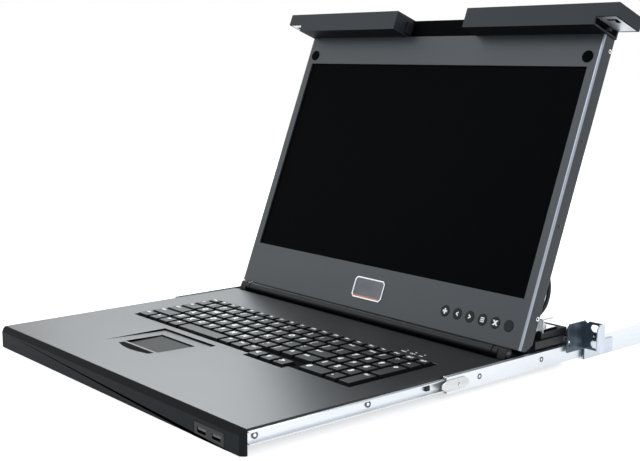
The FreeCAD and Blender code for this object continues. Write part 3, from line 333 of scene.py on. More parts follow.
def cad_copy(node, name):
    """A workable copy of a node: its triangles merged and its flat faces made whole."""
    source = frame["nodes"][node]
    obj = bpy.data.objects.new(name, source.data.copy())
    obj.data.name = name
    bpy.context.scene.collection.objects.link(obj)
    in_edit(obj)
    bpy.ops.mesh.select_all(action="SELECT")
    bpy.ops.mesh.remove_doubles(threshold=0.004 * MM)
    bpy.ops.mesh.dissolve_limited(angle_limit=math.radians(1))
    out_of_edit()
    return obj


def stand_for(obj, node):
    """Show the piece in the node's stead."""
    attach(obj, body_of(node))
    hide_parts(node)


def carry(piece, body):
    """A piece of its own that moves with a body."""
    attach(piece, body)


def in_screen(point):
    """A point's place in the screen's own frame, in millimetres."""
    return SCREEN.inverted() @ point / MM


def on_screen(x, y, z, turn=LEVEL):
    """A place in the screen's own frame, in millimetres."""
    return SCREEN @ Matrix.Translation(Vector((x, y, z)) * MM) @ turn


def on_deck(x, y, z, turn=LEVEL):
    """A place measured from the middle of the deck's front edge, in millimetres."""
    low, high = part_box("deck_cover")
    corner = Vector((0, low[1], high[2]))
    return Matrix.Translation(corner + Vector((x, y, z)) * MM) @ turn


def in_deck(point):
    """A point's place from the middle of the deck's front edge, in millimetres."""
    return on_deck(0, 0, 0).inverted() @ point / MM


# ------------------------------------------------------------------ finishes

def wire(tree, start, end):
    tree.links.new(start, end)


def finish(name, base, metallic=0.0, roughness=0.5, spread=0.06, grain=400, bump=0.02, tint=0.1,
           stretch=(1, 1, 1), specular=0.5, ior=1.5):
    """A coating or metal: a fine grain in its colour, its roughness and its surface."""
    material = bpy.data.materials.new(name)
    material.use_nodes = True
    tree = material.node_tree
    shader = tree.nodes["Principled BSDF"]
    shader.inputs["Metallic"].default_value = metallic
    shader.inputs["IOR"].default_value = ior
    shader.inputs["Specular IOR Level"].default_value = specular
    place = tree.nodes.new("ShaderNodeTexCoord")
    turn = tree.nodes.new("ShaderNodeMapping")
    turn.inputs["Scale"].default_value = stretch
    wire(tree, place.outputs["Object"], turn.inputs["Vector"])
    fine = tree.nodes.new("ShaderNodeTexNoise")
    fine.inputs["Scale"].default_value = grain
    fine.inputs["Detail"].default_value = 3
    broad = tree.nodes.new("ShaderNodeTexNoise")
    broad.inputs["Scale"].default_value = 9
    broad.inputs["Detail"].default_value = 4
    for noise in (fine, broad):
        wire(tree, turn.outputs["Vector"], noise.inputs["Vector"])
    shades = tree.nodes.new("ShaderNodeValToRGB")
    shades.color_ramp.elements[0].position = 0.3
    shades.color_ramp.elements[0].color = [value * (1 - tint) for value in base] + [1]
    shades.color_ramp.elements[1].position = 0.7
    shades.color_ramp.elements[1].color = [min(1, value * (1 + tint)) for value in base] + [1]
    blend = tree.nodes.new("ShaderNodeMath")
    blend.operation = "MULTIPLY_ADD"
    blend.inputs[1].default_value = 0.5
    half = tree.nodes.new("ShaderNodeMath")
    half.operation = "MULTIPLY"
    half.inputs[1].default_value = 0.5
    wire(tree, broad.outputs["Fac"], half.inputs[0])
    wire(tree, fine.outputs["Fac"], blend.inputs[0])
    wire(tree, half.outputs[0], blend.inputs[2])
    wire(tree, blend.outputs[0], shades.inputs["Fac"])
    wire(tree, shades.outputs["Color"], shader.inputs["Base Color"])
    rough = tree.nodes.new("ShaderNodeMapRange")
    rough.inputs["To Min"].default_value = roughness - spread
    rough.inputs["To Max"].default_value = roughness + spread
    wire(tree, blend.outputs[0], rough.inputs["Value"])
    wire(tree, rough.outputs["Result"], shader.inputs["Roughness"])
    relief = tree.nodes.new("ShaderNodeBump")
    relief.inputs["Strength"].default_value = bump
    relief.inputs["Distance"].default_value = 0.1 * MM
    wire(tree, fine.outputs["Fac"], relief.inputs["Height"])
    wire(tree, relief.outputs["Normal"], shader.inputs["Normal"])
    return material


def make_finishes(colours):
    recipes = {
        "deck_coat": dict(base=colours.deck, roughness=0.36, grain=1600, bump=0.16, tint=0.12,
                          specular=0.6),
        "bezel_moulding": dict(base=colours.bezel, roughness=0.62, grain=1800, bump=0.12,
                               specular=0.12),
        "case_coat": dict(base=colours.screen_case, roughness=0.44, grain=1600, bump=0.12),
        "wing_moulding": dict(base=colours.wing, roughness=0.55, grain=1600, bump=0.12,
                              specular=0.3),
        "dark_glass": dict(base=colours.panel, roughness=0.34, spread=0.03, grain=3000, bump=0.02,
                           ior=1.05),
        "cap_plastic": dict(base=colours.cap, roughness=0.50, grain=2200, bump=0.12,
                            specular=0.35),
        # near-black plastic, made darker still as painted shade where it lies in the keyboard's wells, between the
        # wings, round the touchpad and on the walls of its hollow
        "dark_plastic_and_painted_shade": dict(base=(0.0012, 0.0014, 0.0018), roughness=0.7, grain=1800, bump=0.1,
                             ior=1.08),
        "black_plastic": dict(base=(0.006, 0.006, 0.007), roughness=0.5, grain=1800, bump=0.1,
                              specular=0.3),
        "pad_plastic": dict(base=(0.006, 0.0075, 0.009), roughness=0.52, grain=2400, bump=0.15,
                            specular=0.12),
        "lever_plate": dict(base=(0.60, 0.61, 0.60), metallic=0.9, roughness=0.34, grain=260,
                            bump=0.12, tint=0.22, stretch=(1, 0.1, 1)),
        "button_plastic": dict(base=(0.004, 0.0045, 0.006), roughness=0.5, grain=1800, bump=0.08,
                               specular=0.2),
        "housing_coat": dict(base=(0.006, 0.0075, 0.0095), roughness=0.5, grain=1400, bump=0.15,
                             specular=0.4),
        "hinge_coat": dict(base=(0.0032, 0.0042, 0.005), roughness=0.40, grain=1400, bump=0.1,
                           ior=1.28),
        "legend_print": dict(base=colours.legend, roughness=0.6, grain=2500, bump=0.02, tint=0.03),
        "zinc_plate": dict(base=colours.zinc, metallic=0.9, roughness=0.36, grain=500, bump=0.04,
                           tint=0.05, stretch=(1, 0.06, 1)),
        # painted reflection: the ears' plates inside their lips darkened blue-black, as they mirror the dark
        # screen and housing
        "ear_painted_reflection": dict(base=(0.085, 0.115, 0.145), metallic=0.9, roughness=0.38, grain=300,
                          bump=0.05, tint=0.35, stretch=(1, 1, 0.2)),
        # painted shade: the key caps' sides, darker than their tops
        "cap_side_painted_shade": dict(base=(0.0018, 0.0022, 0.0026), roughness=0.6, grain=2200, bump=0.08,
                         ior=1.15),
        "ear_zinc": dict(base=(0.56, 0.60, 0.66), metallic=0.95, roughness=0.30, grain=300,
                         bump=0.05, tint=0.10, stretch=(1, 1, 0.2)),
        "latch_steel": dict(base=(0.52, 0.54, 0.56), metallic=0.9, roughness=0.42, grain=90,
                            bump=0.03, tint=0.25),
        # painted highlight: bright metal on the chamfers down the screen frame's sides, standing in for a lit edge
        "painted_edge_highlight": dict(base=(0.30, 0.33, 0.38), metallic=0.85, roughness=0.34, grain=900,
                           bump=0.03, tint=0.10),
        # painted shade: near-black on the bezel's chamfer, the undersides of the wings and the rear housing's roof
        "painted_shade_coat": dict(base=(0.0025, 0.0034, 0.0044), roughness=0.6, grain=1800, bump=0.1,
                              ior=1.15),
        "bright_steel": dict(base=colours.steel, metallic=1.0, roughness=0.22, grain=900,
                             bump=0.03, tint=0.06),
        "dark_steel": dict(base=(0.10, 0.10, 0.11), metallic=0.9, roughness=0.35, grain=900,
                           bump=0.03, tint=0.1),
        "badge_rim": dict(base=(0.50, 0.51, 0.53), metallic=0.8, roughness=0.28, grain=900,
                          bump=0.02, tint=0.06),
        "badge_field": dict(base=(0.06, 0.063, 0.07), metallic=0.6, roughness=0.32, grain=40,
                            bump=0.01, tint=0.5, stretch=(0.6, 1, 1.5)),
        "badge_stripe": dict(base=(0.60, 0.17, 0.03), roughness=0.35, grain=900, bump=0.02),
        "board_green": dict(base=(0.01, 0.08, 0.03), roughness=0.4, grain=500, bump=0.05),
        "lamp_lens": dict(base=(0.55, 0.57, 0.58), roughness=0.25, grain=2000, bump=0.02,
                          tint=0.05),
        "rubber": dict(base=colours.rubber, roughness=0.6, grain=1200, bump=0.2, specular=0.3),
    }
    return {name: finish(name, **recipe) for name, recipe in recipes.items()}


FINISHES = {}

# what each node's copy is finished with, and the radius of its edges in millimetres
DRESSING = {
    "deck_cover": ("deck_coat", 0.5), "front_bezel": ("bezel_moulding", 0.5),
    "drawer_pan": ("housing_coat", 0.25), "usb_carrier": ("black_plastic", 0.15),
    "usb_sockets": ("dark_steel", 0.05), "keyboard_base": ("dark_plastic_and_painted_shade", 0),
    "keyboard_frame": ("dark_plastic_and_painted_shade", 0), "touchpad_tray": ("black_plastic", 0),
    "right_pad_button": ("dark_plastic_and_painted_shade", 0.3), "left_pad_button": ("dark_plastic_and_painted_shade", 0.3),
    "hinge_barrel": ("hinge_coat", 0.4), "hinge_brackets": ("hinge_coat", 0.3),
    "hinge_pins": ("dark_steel", 0.1), "hinge_leaves": ("hinge_coat", 0.2),
    "rear_housing": ("housing_coat", 0.6), "lcd_front_frame": ("case_coat", 0.9),
    "lcd_back_cover": ("case_coat", 0.9), "lcd_panel": ("dark_glass", 0),
    "button_board": ("board_green", 0), "plus_button": ("button_plastic", 0.3),
    "left_button": ("button_plastic", 0.3), "right_button": ("button_plastic", 0.3),
    "menu_button": ("button_plastic", 0.3), "exit_button": ("button_plastic", 0.3),
    "power_button": ("button_plastic", 0.3), "lcd_bumpers": ("dark_plastic_and_painted_shade", 0.4),
    "right_wing": ("wing_moulding", 0.6), "left_wing": ("wing_moulding", 0.6),
    "latch_plates": ("latch_steel", 0.2), "right_latch_bolt": ("black_plastic", 0.2),
    "left_latch_bolt": ("black_plastic", 0.2), "right_slide_lock": ("lever_plate", 0.15),
    "left_slide_lock": ("lever_plate", 0.15), "right_inner_rail": ("zinc_plate", 0.25),
    "left_inner_rail": ("zinc_plate", 0.25), "right_middle_rail": ("zinc_plate", 0.25),
    "left_middle_rail": ("zinc_plate", 0.25), "right_outer_rail": ("zinc_plate", 0.25),
    "left_outer_rail": ("zinc_plate", 0.25), "inner_ball_cages": ("bright_steel", 0),
    "outer_ball_cages": ("bright_steel", 0), "right_ear_bracket": ("ear_zinc", 0.3),
    "left_ear_bracket": ("ear_zinc", 0.3), "rear_brackets": ("ear_zinc", 0.3),
}


# ------------------------------------------------------------------ second finishes
# These tests pick the faces of a piece that are finished in another way; most of these faces get painted shade,
# the frame's side chamfers a painted highlight and the ears' plates a painted reflection.

def is_between_wings(face):
    place = in_screen(face.center)
    return place.z > WING_GAP_FOOT and place.y < SCREEN_BACK - FACE_SLACK


def is_under_wing(face):
    return (SCREEN.to_3x3().inverted() @ face.normal).z < -MOSTLY


def is_side_chamfer(face):
    normal = SCREEN.to_3x3().inverted() @ face.normal
    is_slanted = abs(normal.x) > SIDE_SLANT and normal.y < -SIDE_SLANT
    return is_slanted and abs(face.center.x) > SIDE_STRIP * MM


def is_roof(face):
    return face.normal.z > MOSTLY


def is_bezel_chamfer(face):
    return face.normal.z > SLANTED and face.normal.y < -SLANTED


def is_end(face):
    return abs(face.normal.x) > MOSTLY


# the walls of the touchpad's hollow, which get painted shade
def is_hollow_wall(face):
    if face.normal.z >= PARTLY:
        return False
    place = in_deck(face.center)
    (left, right), (near, far) = PAD_HOLLOW
    return place.z > -HOLLOW_DEPTH and left < place.x < right and near < place.y < far


def is_inside_lip(face):
    is_inside = abs(face.center.x) < EAR_LIP * MM and face.center.y < 0
    return is_inside and face.normal.z < FACING


# painted shade between the wings, under the wings, on the rear housing's roof, on the bezel's chamfer and on the
# walls of the touchpad's hollow; a painted highlight on the frame's side chamfers; a painted reflection inside the
# ears' lips
SECOND_FINISHES = {
    "lcd_back_cover": ("dark_plastic_and_painted_shade", is_between_wings),
    "right_wing": ("painted_shade_coat", is_under_wing),
    "left_wing": ("painted_shade_coat", is_under_wing),
    "rear_housing": ("painted_shade_coat", is_roof),
    "lcd_front_frame": ("painted_edge_highlight", is_side_chamfer),
    "front_bezel": ("painted_shade_coat", is_bezel_chamfer),
    "latch_plates": ("dark_plastic_and_painted_shade", is_end),
    "deck_cover": ("dark_plastic_and_painted_shade", is_hollow_wall),
    "right_ear_bracket": ("ear_painted_reflection", is_inside_lip),
    "left_ear_bracket": ("ear_painted_reflection", is_inside_lip),
}

# the legends of each row of keys, from left to right, with paired signs one over the other
KEY_LEGENDS = {
    "function_keys": ["Esc", "F1", "F2", "F3", "F4", "F5", "F6", "F7", "F8", "F9", "F10", "F11",
                      "F12", "Prt", "Scr", "Pau", "Ins", "Del", "PgU", "PgD"],
    "number_keys": ["~\n`", "!\n1", "@\n2", "#\n3", "$\n4", "%\n5", "^\n6", "&\n7", "*\n8",
                    "(\n9", ")\n0", "_\n-", "+\n=", "Back"],
    "upper_letter_keys": ["Tab", *"QWERTYUIOP", "{\n[", "}\n]", "|\n\\"],
    "home_letter_keys": ["Caps", *"ASDFGHJKL", ":\n;", "\"\n'"],
    "enter_key": ["Enter"],
    "lower_letter_keys": ["Shift", *"ZXCVBNM", "<\n,", ">\n.", "?\n/", "Shift"],
    "modifier_keys": ["Ctrl", "Fn", "Sup", "Alt", "Alt", "Mnu", "Ctrl"],
    "space_bar": [""],
    "arrow_keys": ["^", "<", "v", ">"],
    "numpad_keys": ["Num", "/", "*", "-", "7", "8", "9", "+", "4", "5", "6", "1", "2", "3",
                    "Ent", "0", "."],
}


# ------------------------------------------------------------------ pieces

def islands(obj):
    """The boxes of a mesh's separate solids, from the back row to the front, left to right."""
    links = {}
    for edge in obj.data.edges:
        first, second = edge.vertices
        links.setdefault(first, []).append(second)
        links.setdefault(second, []).append(first)
    left = set(links)
    boxes = []
    while left:
        found, queue = set(), [left.pop()]
        while queue:
            vertex = queue.pop()
            found.add(vertex)
            for near in links[vertex]:
                if near in left:
                    left.discard(near)
                    queue.append(near)
        points = [obj.data.vertices[index].co for index in found]
        boxes.append((Vector([min(point[axis] for point in points) for axis in range(3)]),
                      Vector([max(point[axis] for point in points) for axis in range(3)])))
    return sorted(boxes, key=lambda box: (-round((box[0].y + box[1].y) / 2 / MM), box[0].x))


def framed_copy(node, outward, rim, step, sink, rim_finish, field_finish):
    """A node's copy whose outward face has a rim round a field that is sunk a little."""
    obj = cad_copy(node, node + "_finished")
    in_edit(obj)
    select_faces(obj, lambda face: face.normal.dot(outward) > FACING)
    bpy.ops.mesh.inset(thickness=rim * MM)
    bpy.ops.mesh.inset(thickness=step * MM)
    bpy.ops.transform.translate(value=outward * -sink * MM)
    out_of_edit()
    paint(obj, FINISHES[rim_finish], FINISHES[field_finish])
    for face in obj.data.polygons:
        face.material_index = int(face.select)
    smooth(obj, degrees=20)
    stand_for(obj, node)


def lettering(text, height, place, material, bold=SIGN_BOLD):
    """A line or two of print, its upper left corner at the place, as a thin mesh."""
    bpy.ops.object.text_add(location=(0, 0, 0))
    obj = bpy.context.object
    obj.data.body = text
    obj.data.size = height
    obj.data.resolution_u = 2
    obj.data.align_y = "TOP"
    obj.data.space_line = 0.8
    obj.data.offset = bold * height
    only(obj)
    bpy.ops.object.convert(target="MESH")
    obj = bpy.context.object
    settle(obj, Matrix.Translation(place))
    paint(obj, FINISHES[material])
    return obj


def centred(text, height, matrix, material):
    """One sign of print, its middle on the place."""
    obj = lettering(text, height * MM, Vector((0, 0, 0)), material)
    corners = [vertex.co for vertex in obj.data.vertices]
    middle = Vector([sum(spread_of(corners, axis)) / 2 for axis in range(3)])
    settle(obj, matrix @ Matrix.Translation(-middle))
    return obj


def screw_head(name, size, matrix, rim, core):
    """A round head of a radius and a rise that stands along Z, dished round a sunk socket."""
    radius, rise = (value * MM for value in size)
    bpy.ops.object.select_all(action="DESELECT")
    bpy.ops.mesh.primitive_cylinder_add(vertices=24, radius=radius, depth=rise,
                                        location=(0, 0, rise / 2))
    obj = named(bpy.context.object, name)
    in_edit(obj)
    select_faces(obj, lambda face: face.normal.z > FACING)
    bpy.ops.mesh.inset(thickness=HEAD_RIM * radius)
    bpy.ops.transform.translate(value=(0, 0, -HEAD_DISH * rise))
    bpy.ops.mesh.inset(thickness=SOCKET_RIM * radius)
    bpy.ops.transform.translate(value=(0, 0, -SOCKET_DEPTH * rise))
    out_of_edit()
    round_edges(obj, HEAD_ROUNDING * radius)
    paint(obj, FINISHES[rim], FINISHES[core])
    for face in obj.data.polygons:
        if face.center.xy.length < HEAD_CORE * radius and face.normal.z > PARTLY:
            face.material_index = 1
    settle(obj, matrix)
    smooth(obj)
    return obj


def slab(name, corners, radius, matrix, material):
    """A flat-sided piece between two corners, its edges rounded, all in millimetres."""
    low, high = (Vector(corner) * MM for corner in corners)
    bpy.ops.object.select_all(action="DESELECT")
    bpy.ops.mesh.primitive_cube_add(size=1, location=(low + high) / 2)
    obj = named(bpy.context.object, name)
    obj.scale = high - low
    settle(obj)
    round_edges(obj, radius * MM)
    settle(obj, matrix)
    smooth(obj)
    paint(obj, FINISHES[material])
    return obj


def ring(name, size, matrix, material):
    """A flat ring of an outer radius, an inner radius and a height, its edges rounded."""
    outer, inner, height = (value * MM for value in size)
    bpy.ops.object.select_all(action="DESELECT")
    bpy.ops.mesh.primitive_cylinder_add(vertices=32, radius=outer, depth=height,
                                        end_fill_type="NOTHING", location=(0, 0, height / 2))
    obj = named(bpy.context.object, name)
    in_edit(obj)
    bpy.ops.mesh.select_all(action="SELECT")
    bpy.ops.mesh.normals_make_consistent(inside=False)
    out_of_edit()
    apply_modifier(obj, "SOLIDIFY", thickness=outer - inner, offset=-1)
    round_edges(obj, RING_ROUNDING * MM)
    settle(obj, matrix)
    smooth(obj, degrees=40)
    paint(obj, FINISHES[material])
    return obj


def chamfer_sides(obj):
    """A narrow chamfer down each upright front edge of the screen's frame, which is given a painted highlight."""
    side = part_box("lcd_front_frame")[1][0] - SIDE_SLACK * MM
    in_edit(obj)
    bpy.ops.mesh.select_mode(type="EDGE")
    bpy.ops.mesh.select_all(action="DESELECT")
    out_of_edit()
    for edge in obj.data.edges:
        ends = [obj.data.vertices[index].co for index in edge.vertices]
        local = [in_screen(end) for end in ends]
        edge.select = (all(abs(end.x) > side for end in ends)
                       and all(end.y < SCREEN_FACE + FACE_SLACK for end in local)
                       and abs(local[0].z - local[1].z) > LONG_EDGE)
    bpy.ops.object.mode_set(mode="EDIT")
    bpy.ops.mesh.bevel(offset=SIDE_CHAMFER * MM, segments=2)
    out_of_edit()


# ------------------------------------------------------------------ operators

class CONSOLE_OT_finishes(bpy.types.Operator):
    """Mix the finishes"""
    bl_idname = "console.finishes"
    bl_label = "Finishes"

    def execute(self, context):
        FINISHES.update(make_finishes(context.scene.console_colours))
        return {"FINISHED"}


class CONSOLE_OT_housings(bpy.types.Operator):
    """Round the edges of every housing, rail and bracket and coat it"""
    bl_idname = "console.housings"
    bl_label = "Housings and Rails"

    def execute(self, context):
        for node, (coating, radius) in DRESSING.items():
            obj = cad_copy(node, node + "_finished")
            if node == "lcd_front_frame":
                chamfer_sides(obj)
            round_edges(obj, radius * MM)
            smooth(obj)
            paint(obj, FINISHES[coating])
            if node in SECOND_FINISHES:
                second, is_chosen = SECOND_FINISHES[node]
                obj.data.materials.append(FINISHES[second])
                for face in obj.data.polygons:
                    if is_chosen(face):
                        face.material_index = 1
            stand_for(obj, node)
        return {"FINISHED"}


class CONSOLE_OT_keys(bpy.types.Operator):
    """Dish and round every key cap and print its legend"""
    bl_idname = "console.keys"
    bl_label = "Keys"

    def execute(self, context):
        sizes = context.scene.console_sizes
        for node, legends in KEY_LEGENDS.items():
            caps = cad_copy(node, node + "_caps")
            boxes = islands(caps)
            in_edit(caps)
            select_faces(caps, lambda face: face.normal.z > FACING)
            bpy.ops.mesh.inset(thickness=CAP_RIM * MM, use_individual=True)
            bpy.ops.transform.translate(value=(0, 0, -sizes.key_dish))
            out_of_edit()
            round_edges(caps, sizes.key_radius)
            smooth(caps, degrees=50)
            # the caps' sides get painted shade, darker than their tops
            paint(caps, FINISHES["cap_plastic"], FINISHES["cap_side_painted_shade"])
            for face in caps.data.polygons:
                face.material_index = 0 if face.normal.z > CAP_TOP else 1
            stand_for(caps, node)
            prints = [self.legend(text, low, high, sizes)
                      for (low, high), text in zip(boxes, legends, strict=True) if text]
            if prints:
                carry(join(prints, node + "_legends"), body_of(node))
        return {"FINISHED"}

    def legend(self, text, low, high, sizes):
        """A cap's letter, its two signs one over the other, or its word in small letters."""
        share = PAIR_SHARE if "\n" in text else WORD_SHARE if len(text) > 1 else 1
        right, up = LEGEND_CORNER
        corner = Vector((low.x + right * MM, high.y + up * MM,
                         high.z - sizes.key_dish + sizes.print_thickness))
        return lettering(text, sizes.legend_height * share, corner, "legend_print", LEGEND_BOLD)


class CONSOLE_OT_cable(bpy.types.Operator):
    """The screen's cable: out of the back cover, down in a shallow loop, and in again"""
    bl_idname = "console.cable"
    bl_label = "Cable"

    def execute(self, context):
        low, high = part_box("lcd_cable")
        across = (low[0] + high[0]) / 2 / MM
        route = [on_screen(across, SCREEN_BACK + out, CABLE_FOOT + up).translation
                 for out, up in CABLE_ROUTE]
        bpy.ops.object.select_all(action="DESELECT")
        bpy.ops.curve.primitive_nurbs_path_add(location=(0, 0, 0))
        cable = named(bpy.context.object, "lcd_cable_jacket")
        cable.data.dimensions = "3D"
        spline = cable.data.splines[0]
        for point, place in zip(spline.points, route, strict=True):
            point.co = (*place, 1)
        spline.order_u = 3
        spline.use_endpoint_u = True
        spline.resolution_u = 12
        cable.data.bevel_depth = CABLE_DIAMETER * MM / 2
        cable.data.bevel_resolution = 6
        cable.data.use_fill_caps = True
        paint(cable, FINISHES["rubber"])
        stand_for(cable, "lcd_cable")
        return {"FINISHED"}


class CONSOLE_OT_badge(bpy.types.Operator):
    """The name plate, left bare, with a rim and a stripe"""
    bl_idname = "console.badge"
    bl_label = "Name Plate"

    def execute(self, context):
        outward = SCREEN.to_3x3() @ Vector((0, -1, 0))
        framed_copy("badge_plate", outward, BADGE_RIM, BADGE_STEP, BADGE_SINK,
                    "badge_rim", "badge_field")
        place = on_screen(0, SCREEN_FACE - BADGE_THICKNESS, STRIPE_FOOT)
        stripe = slab("badge_stripe", STRIPE, STRIPE_ROUNDING, place, "badge_stripe")
        carry(stripe, "screen")
        return {"FINISHED"}


class CONSOLE_OT_button_signs(bpy.types.Operator):
    """The signs on the screen's buttons"""
    bl_idname = "console.button_signs"
    bl_label = "Button Signs"

    def execute(self, context):
        lift = context.scene.console_sizes.print_thickness / MM
        for node, text, height, width in BUTTON_SIGNS:
            place = on_screen(self.across(node), BUTTON_FACE - lift, BUTTON_RISE, UPRIGHT)
            sign = centred(text, height, place @ Matrix.Diagonal((width, 1, 1, 1)), "legend_print")
            carry(named(sign, node + "_sign"), body_of(node))
        half_width, half_height = MENU_LINE
        place = on_screen(self.across("menu_button"), BUTTON_FACE, BUTTON_RISE)
        lines = [slab("menu_line", ((-half_width, -lift, up - half_height),
                                    (half_width, 0, up + half_height)),
                      PRINT_ROUNDING, place, "legend_print") for up in MENU_LINES]
        carry(join(lines, "menu_button_sign"), body_of("menu_button"))
        return {"FINISHED"}

    def across(self, node):
        low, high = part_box(node)
        return (low[0] + high[0]) / 2 / MM


class CONSOLE_OT_screen_screws(bpy.types.Operator):
    """The screws in the screen's sides"""
    bl_idname = "console.screen_screws"
    bl_label = "Screen Screws"

    def execute(self, context):
        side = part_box("lcd_front_frame")[1][0] / MM
        heads = [screw_head("screen_screw", (radius, SCREEN_SCREW_RISE),
                            on_screen(across, deep, up, turn), rim, "black_plastic")
                 for across, turn in ((side, TO_RIGHT), (-side, TO_LEFT))
                 for up, deep, radius, rim in SCREEN_SCREWS]
        carry(join(heads, "screen_side_screws"), "screen")
        return {"FINISHED"}


class CONSOLE_OT_touchpad(bpy.types.Operator):
    """The touchpad with its dark rim, painted shade of the gap round it"""
    bl_idname = "console.touchpad"
    bl_label = "Touchpad"

    def execute(self, context):
        framed_copy("touchpad", Vector((0, 0, 1)), PAD_RIM, PAD_STEP, PAD_SINK,
                    "dark_plastic_and_painted_shade", "pad_plastic")
        return {"FINISHED"}


class CONSOLE_OT_lamps(bpy.types.Operator):
    """The lock lamps and their labels"""
    bl_idname = "console.lamps"
    bl_label = "Lock Lamps"

    def execute(self, context):
        lift = context.scene.console_sizes.print_thickness / MM
        labels = [centred(text, LABEL_HEIGHT, on_deck(across, LABEL_ALONG, lift), "legend_print")
                  for across, text in LAMPS]
        lenses = [screw_head("lamp", LENS, on_deck(across, LENS_ALONG, 0), "lamp_lens", "lamp_lens")
                  for across, text in LAMPS]
        carry(join(labels, "lamp_labels"), "drawer")
        carry(join(lenses, "lock_lamps"), "drawer")
        return {"FINISHED"}


class CONSOLE_OT_cable_clamp(bpy.types.Operator):
    """The folded sheet, block, plate and ring that hold the cable by the rear housing"""
    bl_idname = "console.cable_clamp"
    bl_label = "Cable Clamp"

    def execute(self, context):
        sheet = cad_copy("cable_bracket", "cable_bracket_sheet")
        settle(sheet, Matrix.Translation(Vector(SHEET_MOVE) * MM))
        round_edges(sheet, SHEET_ROUNDING * MM)
        smooth(sheet)
        paint(sheet, FINISHES["latch_steel"])
        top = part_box("rear_housing")[1][2]
        roof = [vertex.co for vertex in frame["nodes"]["rear_housing"].data.vertices
                if vertex.co.z > top - ROOF_LAYER * MM]
        corner = Matrix.Translation((spread_of(roof, 0)[1], spread_of(roof, 1)[0], top))
        ring_place = corner @ Matrix.Translation(Vector(CLAMP_RING_PLACE) * MM)
        pieces = [
            sheet,
            slab("clamp_block", CLAMP_BLOCK, BLOCK_ROUNDING, on_deck(0, 0, 0), "bright_steel"),
            slab("clamp_pad", CLAMP_PAD, PAD_ROUNDING, corner, "dark_plastic_and_painted_shade"),
            slab("clamp_plate", CLAMP_PLATE, PLATE_ROUNDING, corner, "bright_steel"),
            ring("clamp_ring", CLAMP_RING, ring_place, "latch_steel"),
            screw_head("clamp_bolt", CLAMP_BOLT, ring_place, "black_plastic", "black_plastic"),
        ]
        stand_for(join(pieces, "cable_bracket_finished"), "cable_bracket")
        return {"FINISHED"}


class CONSOLE_OT_housing_screws(bpy.types.Operator):
    """The screws in the rear housing's ends"""
    bl_idname = "console.housing_screws"
    bl_label = "Housing Screws"

    def execute(self, context):
        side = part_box("rear_housing")[1][0] / MM
        heads = [screw_head("housing_screw", HOUSING_SCREW,
                            on_deck(across, *HOUSING_SCREW_PLACE, turn), "bright_steel",
                            "black_plastic")
                 for across, turn in ((side, TO_RIGHT), (-side, TO_LEFT))]
        carry(join(heads, "housing_screws"), "drawer")
        return {"FINISHED"}


class CONSOLE_OT_slide_trim(bpy.types.Operator):
    """The inner rails' screws and stops, the middle rails' rings and the pegs in the ears"""
    bl_idname = "console.slide_trim"
    bl_label = "Slide Trim"

    def execute(self, context):
        low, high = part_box("right_inner_rail")
        web = low[0] / MM + RAIL_WEB
        up = ((low[2] + high[2]) / 2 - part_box("deck_cover")[1][2]) / MM
        self.screws(web, up + RAIL_LIFT)
        self.pegs()
        self.rings(up + RAIL_LIFT)
        self.stops(web, up + STOP_LIFT)
        return {"FINISHED"}

    def screws(self, web, up):
        heads = [screw_head("rail_screw", RAIL_SCREW, on_deck(hand * web, along, up, turn),
                            "dark_steel", "bright_steel")
                 for hand, turn in ((1, TO_RIGHT), (-1, TO_LEFT)) for along in RAIL_SCREWS_ALONG]
        stand_for(join(heads, "rail_screw_heads"), "slide_screws")

    def pegs(self):
        """A peg between the slots of each ear, on the front of the plate that they are cut in. Its black rim is
        painted shade, standing for the shaded wall of a hole, and its bright core is painted light, standing for
        the light seen through it.
        """
        start, end = (value * MM for value in EAR_SLOTS)
        rims = [vertex.co for vertex in frame["nodes"]["right_ear_bracket"].data.vertices
                if start < vertex.co.x < end]
        front = spread_of(rims, 1)[0]
        middle = sum(spread_of(rims, 2)) / 2
        pegs = [screw_head("ear_peg", EAR_PEG,
                           Matrix.Translation((across * MM, front, middle)) @ UPRIGHT,
                           "black_plastic", "bright_steel")
                for across in (EAR_PEG_ACROSS, -EAR_PEG_ACROSS)]
        carry(join(pegs, "ear_pegs"), "rack")

    def rings(self, up):
        for side, turn, body in ((1, TO_RIGHT, "right_middle"), (0, TO_LEFT, "left_middle")):
            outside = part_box(body + "_rail")[side][0] / MM
            rings = [screw_head("rail_ring", RAIL_RING, on_deck(outside, along, up, turn),
                                "dark_steel", "bright_steel") for along in RAIL_RINGS_ALONG]
            carry(join(rings, body + "_rings"), body)

    def stops(self, web, up):
        stops = []
        for hand in (1, -1):
            left, right = sorted((hand * web, hand * (web + STOP)))
            stops.append(slab("stop", ((left, -STOP, -STOP), (right, STOP, STOP)), STOP_ROUNDING,
                              on_deck(0, STOP_ALONG, up), "black_plastic"))
        carry(join(stops, "rail_stops"), "drawer")


# ------------------------------------------------------------------ stage

FLOOR_RADIUS = 9
FLOOR_DROP = 0.5 * MM
FLOOR_COLOUR = (0.82, 0.82, 0.83, 1)
# how bright the floor is by itself, and the surroundings to soft light and to the camera
FLOOR_LIFT = 0.62
SKY_SOFT = 0.45
SKY_SEEN = 1.0
WHITE = (1, 1, 1, 1)
LIGHT_COLOUR = (0.90, 0.96, 1.0)
# name, place, what it is turned to, size and power
STAGE_LIGHTS = (
    ("key_light", (-1.6, -2.2, 2.2), (0, -0.2, 0.1), 1.6, 25),
    ("low_light", (-1.05, -1.0, 0.55), (0.1, -0.1, 0.1), 0.6, 2),
    ("side_light", (2.6, -1.0, 1.2), (0, -0.2, 0.1), 1.2, 34),
    ("sheen_light", (-1.4, 0.9, 1.45), (0, -0.3, 0), 1.6, 34),
)
CAMERA_PLACE = (0.862853, -0.880613, 0.2715115)
CAMERA_DOWN = 9.068
CAMERA_ROUND = 49.877
CAMERA_LENS = 62.606
CAMERA_SENSOR = 36


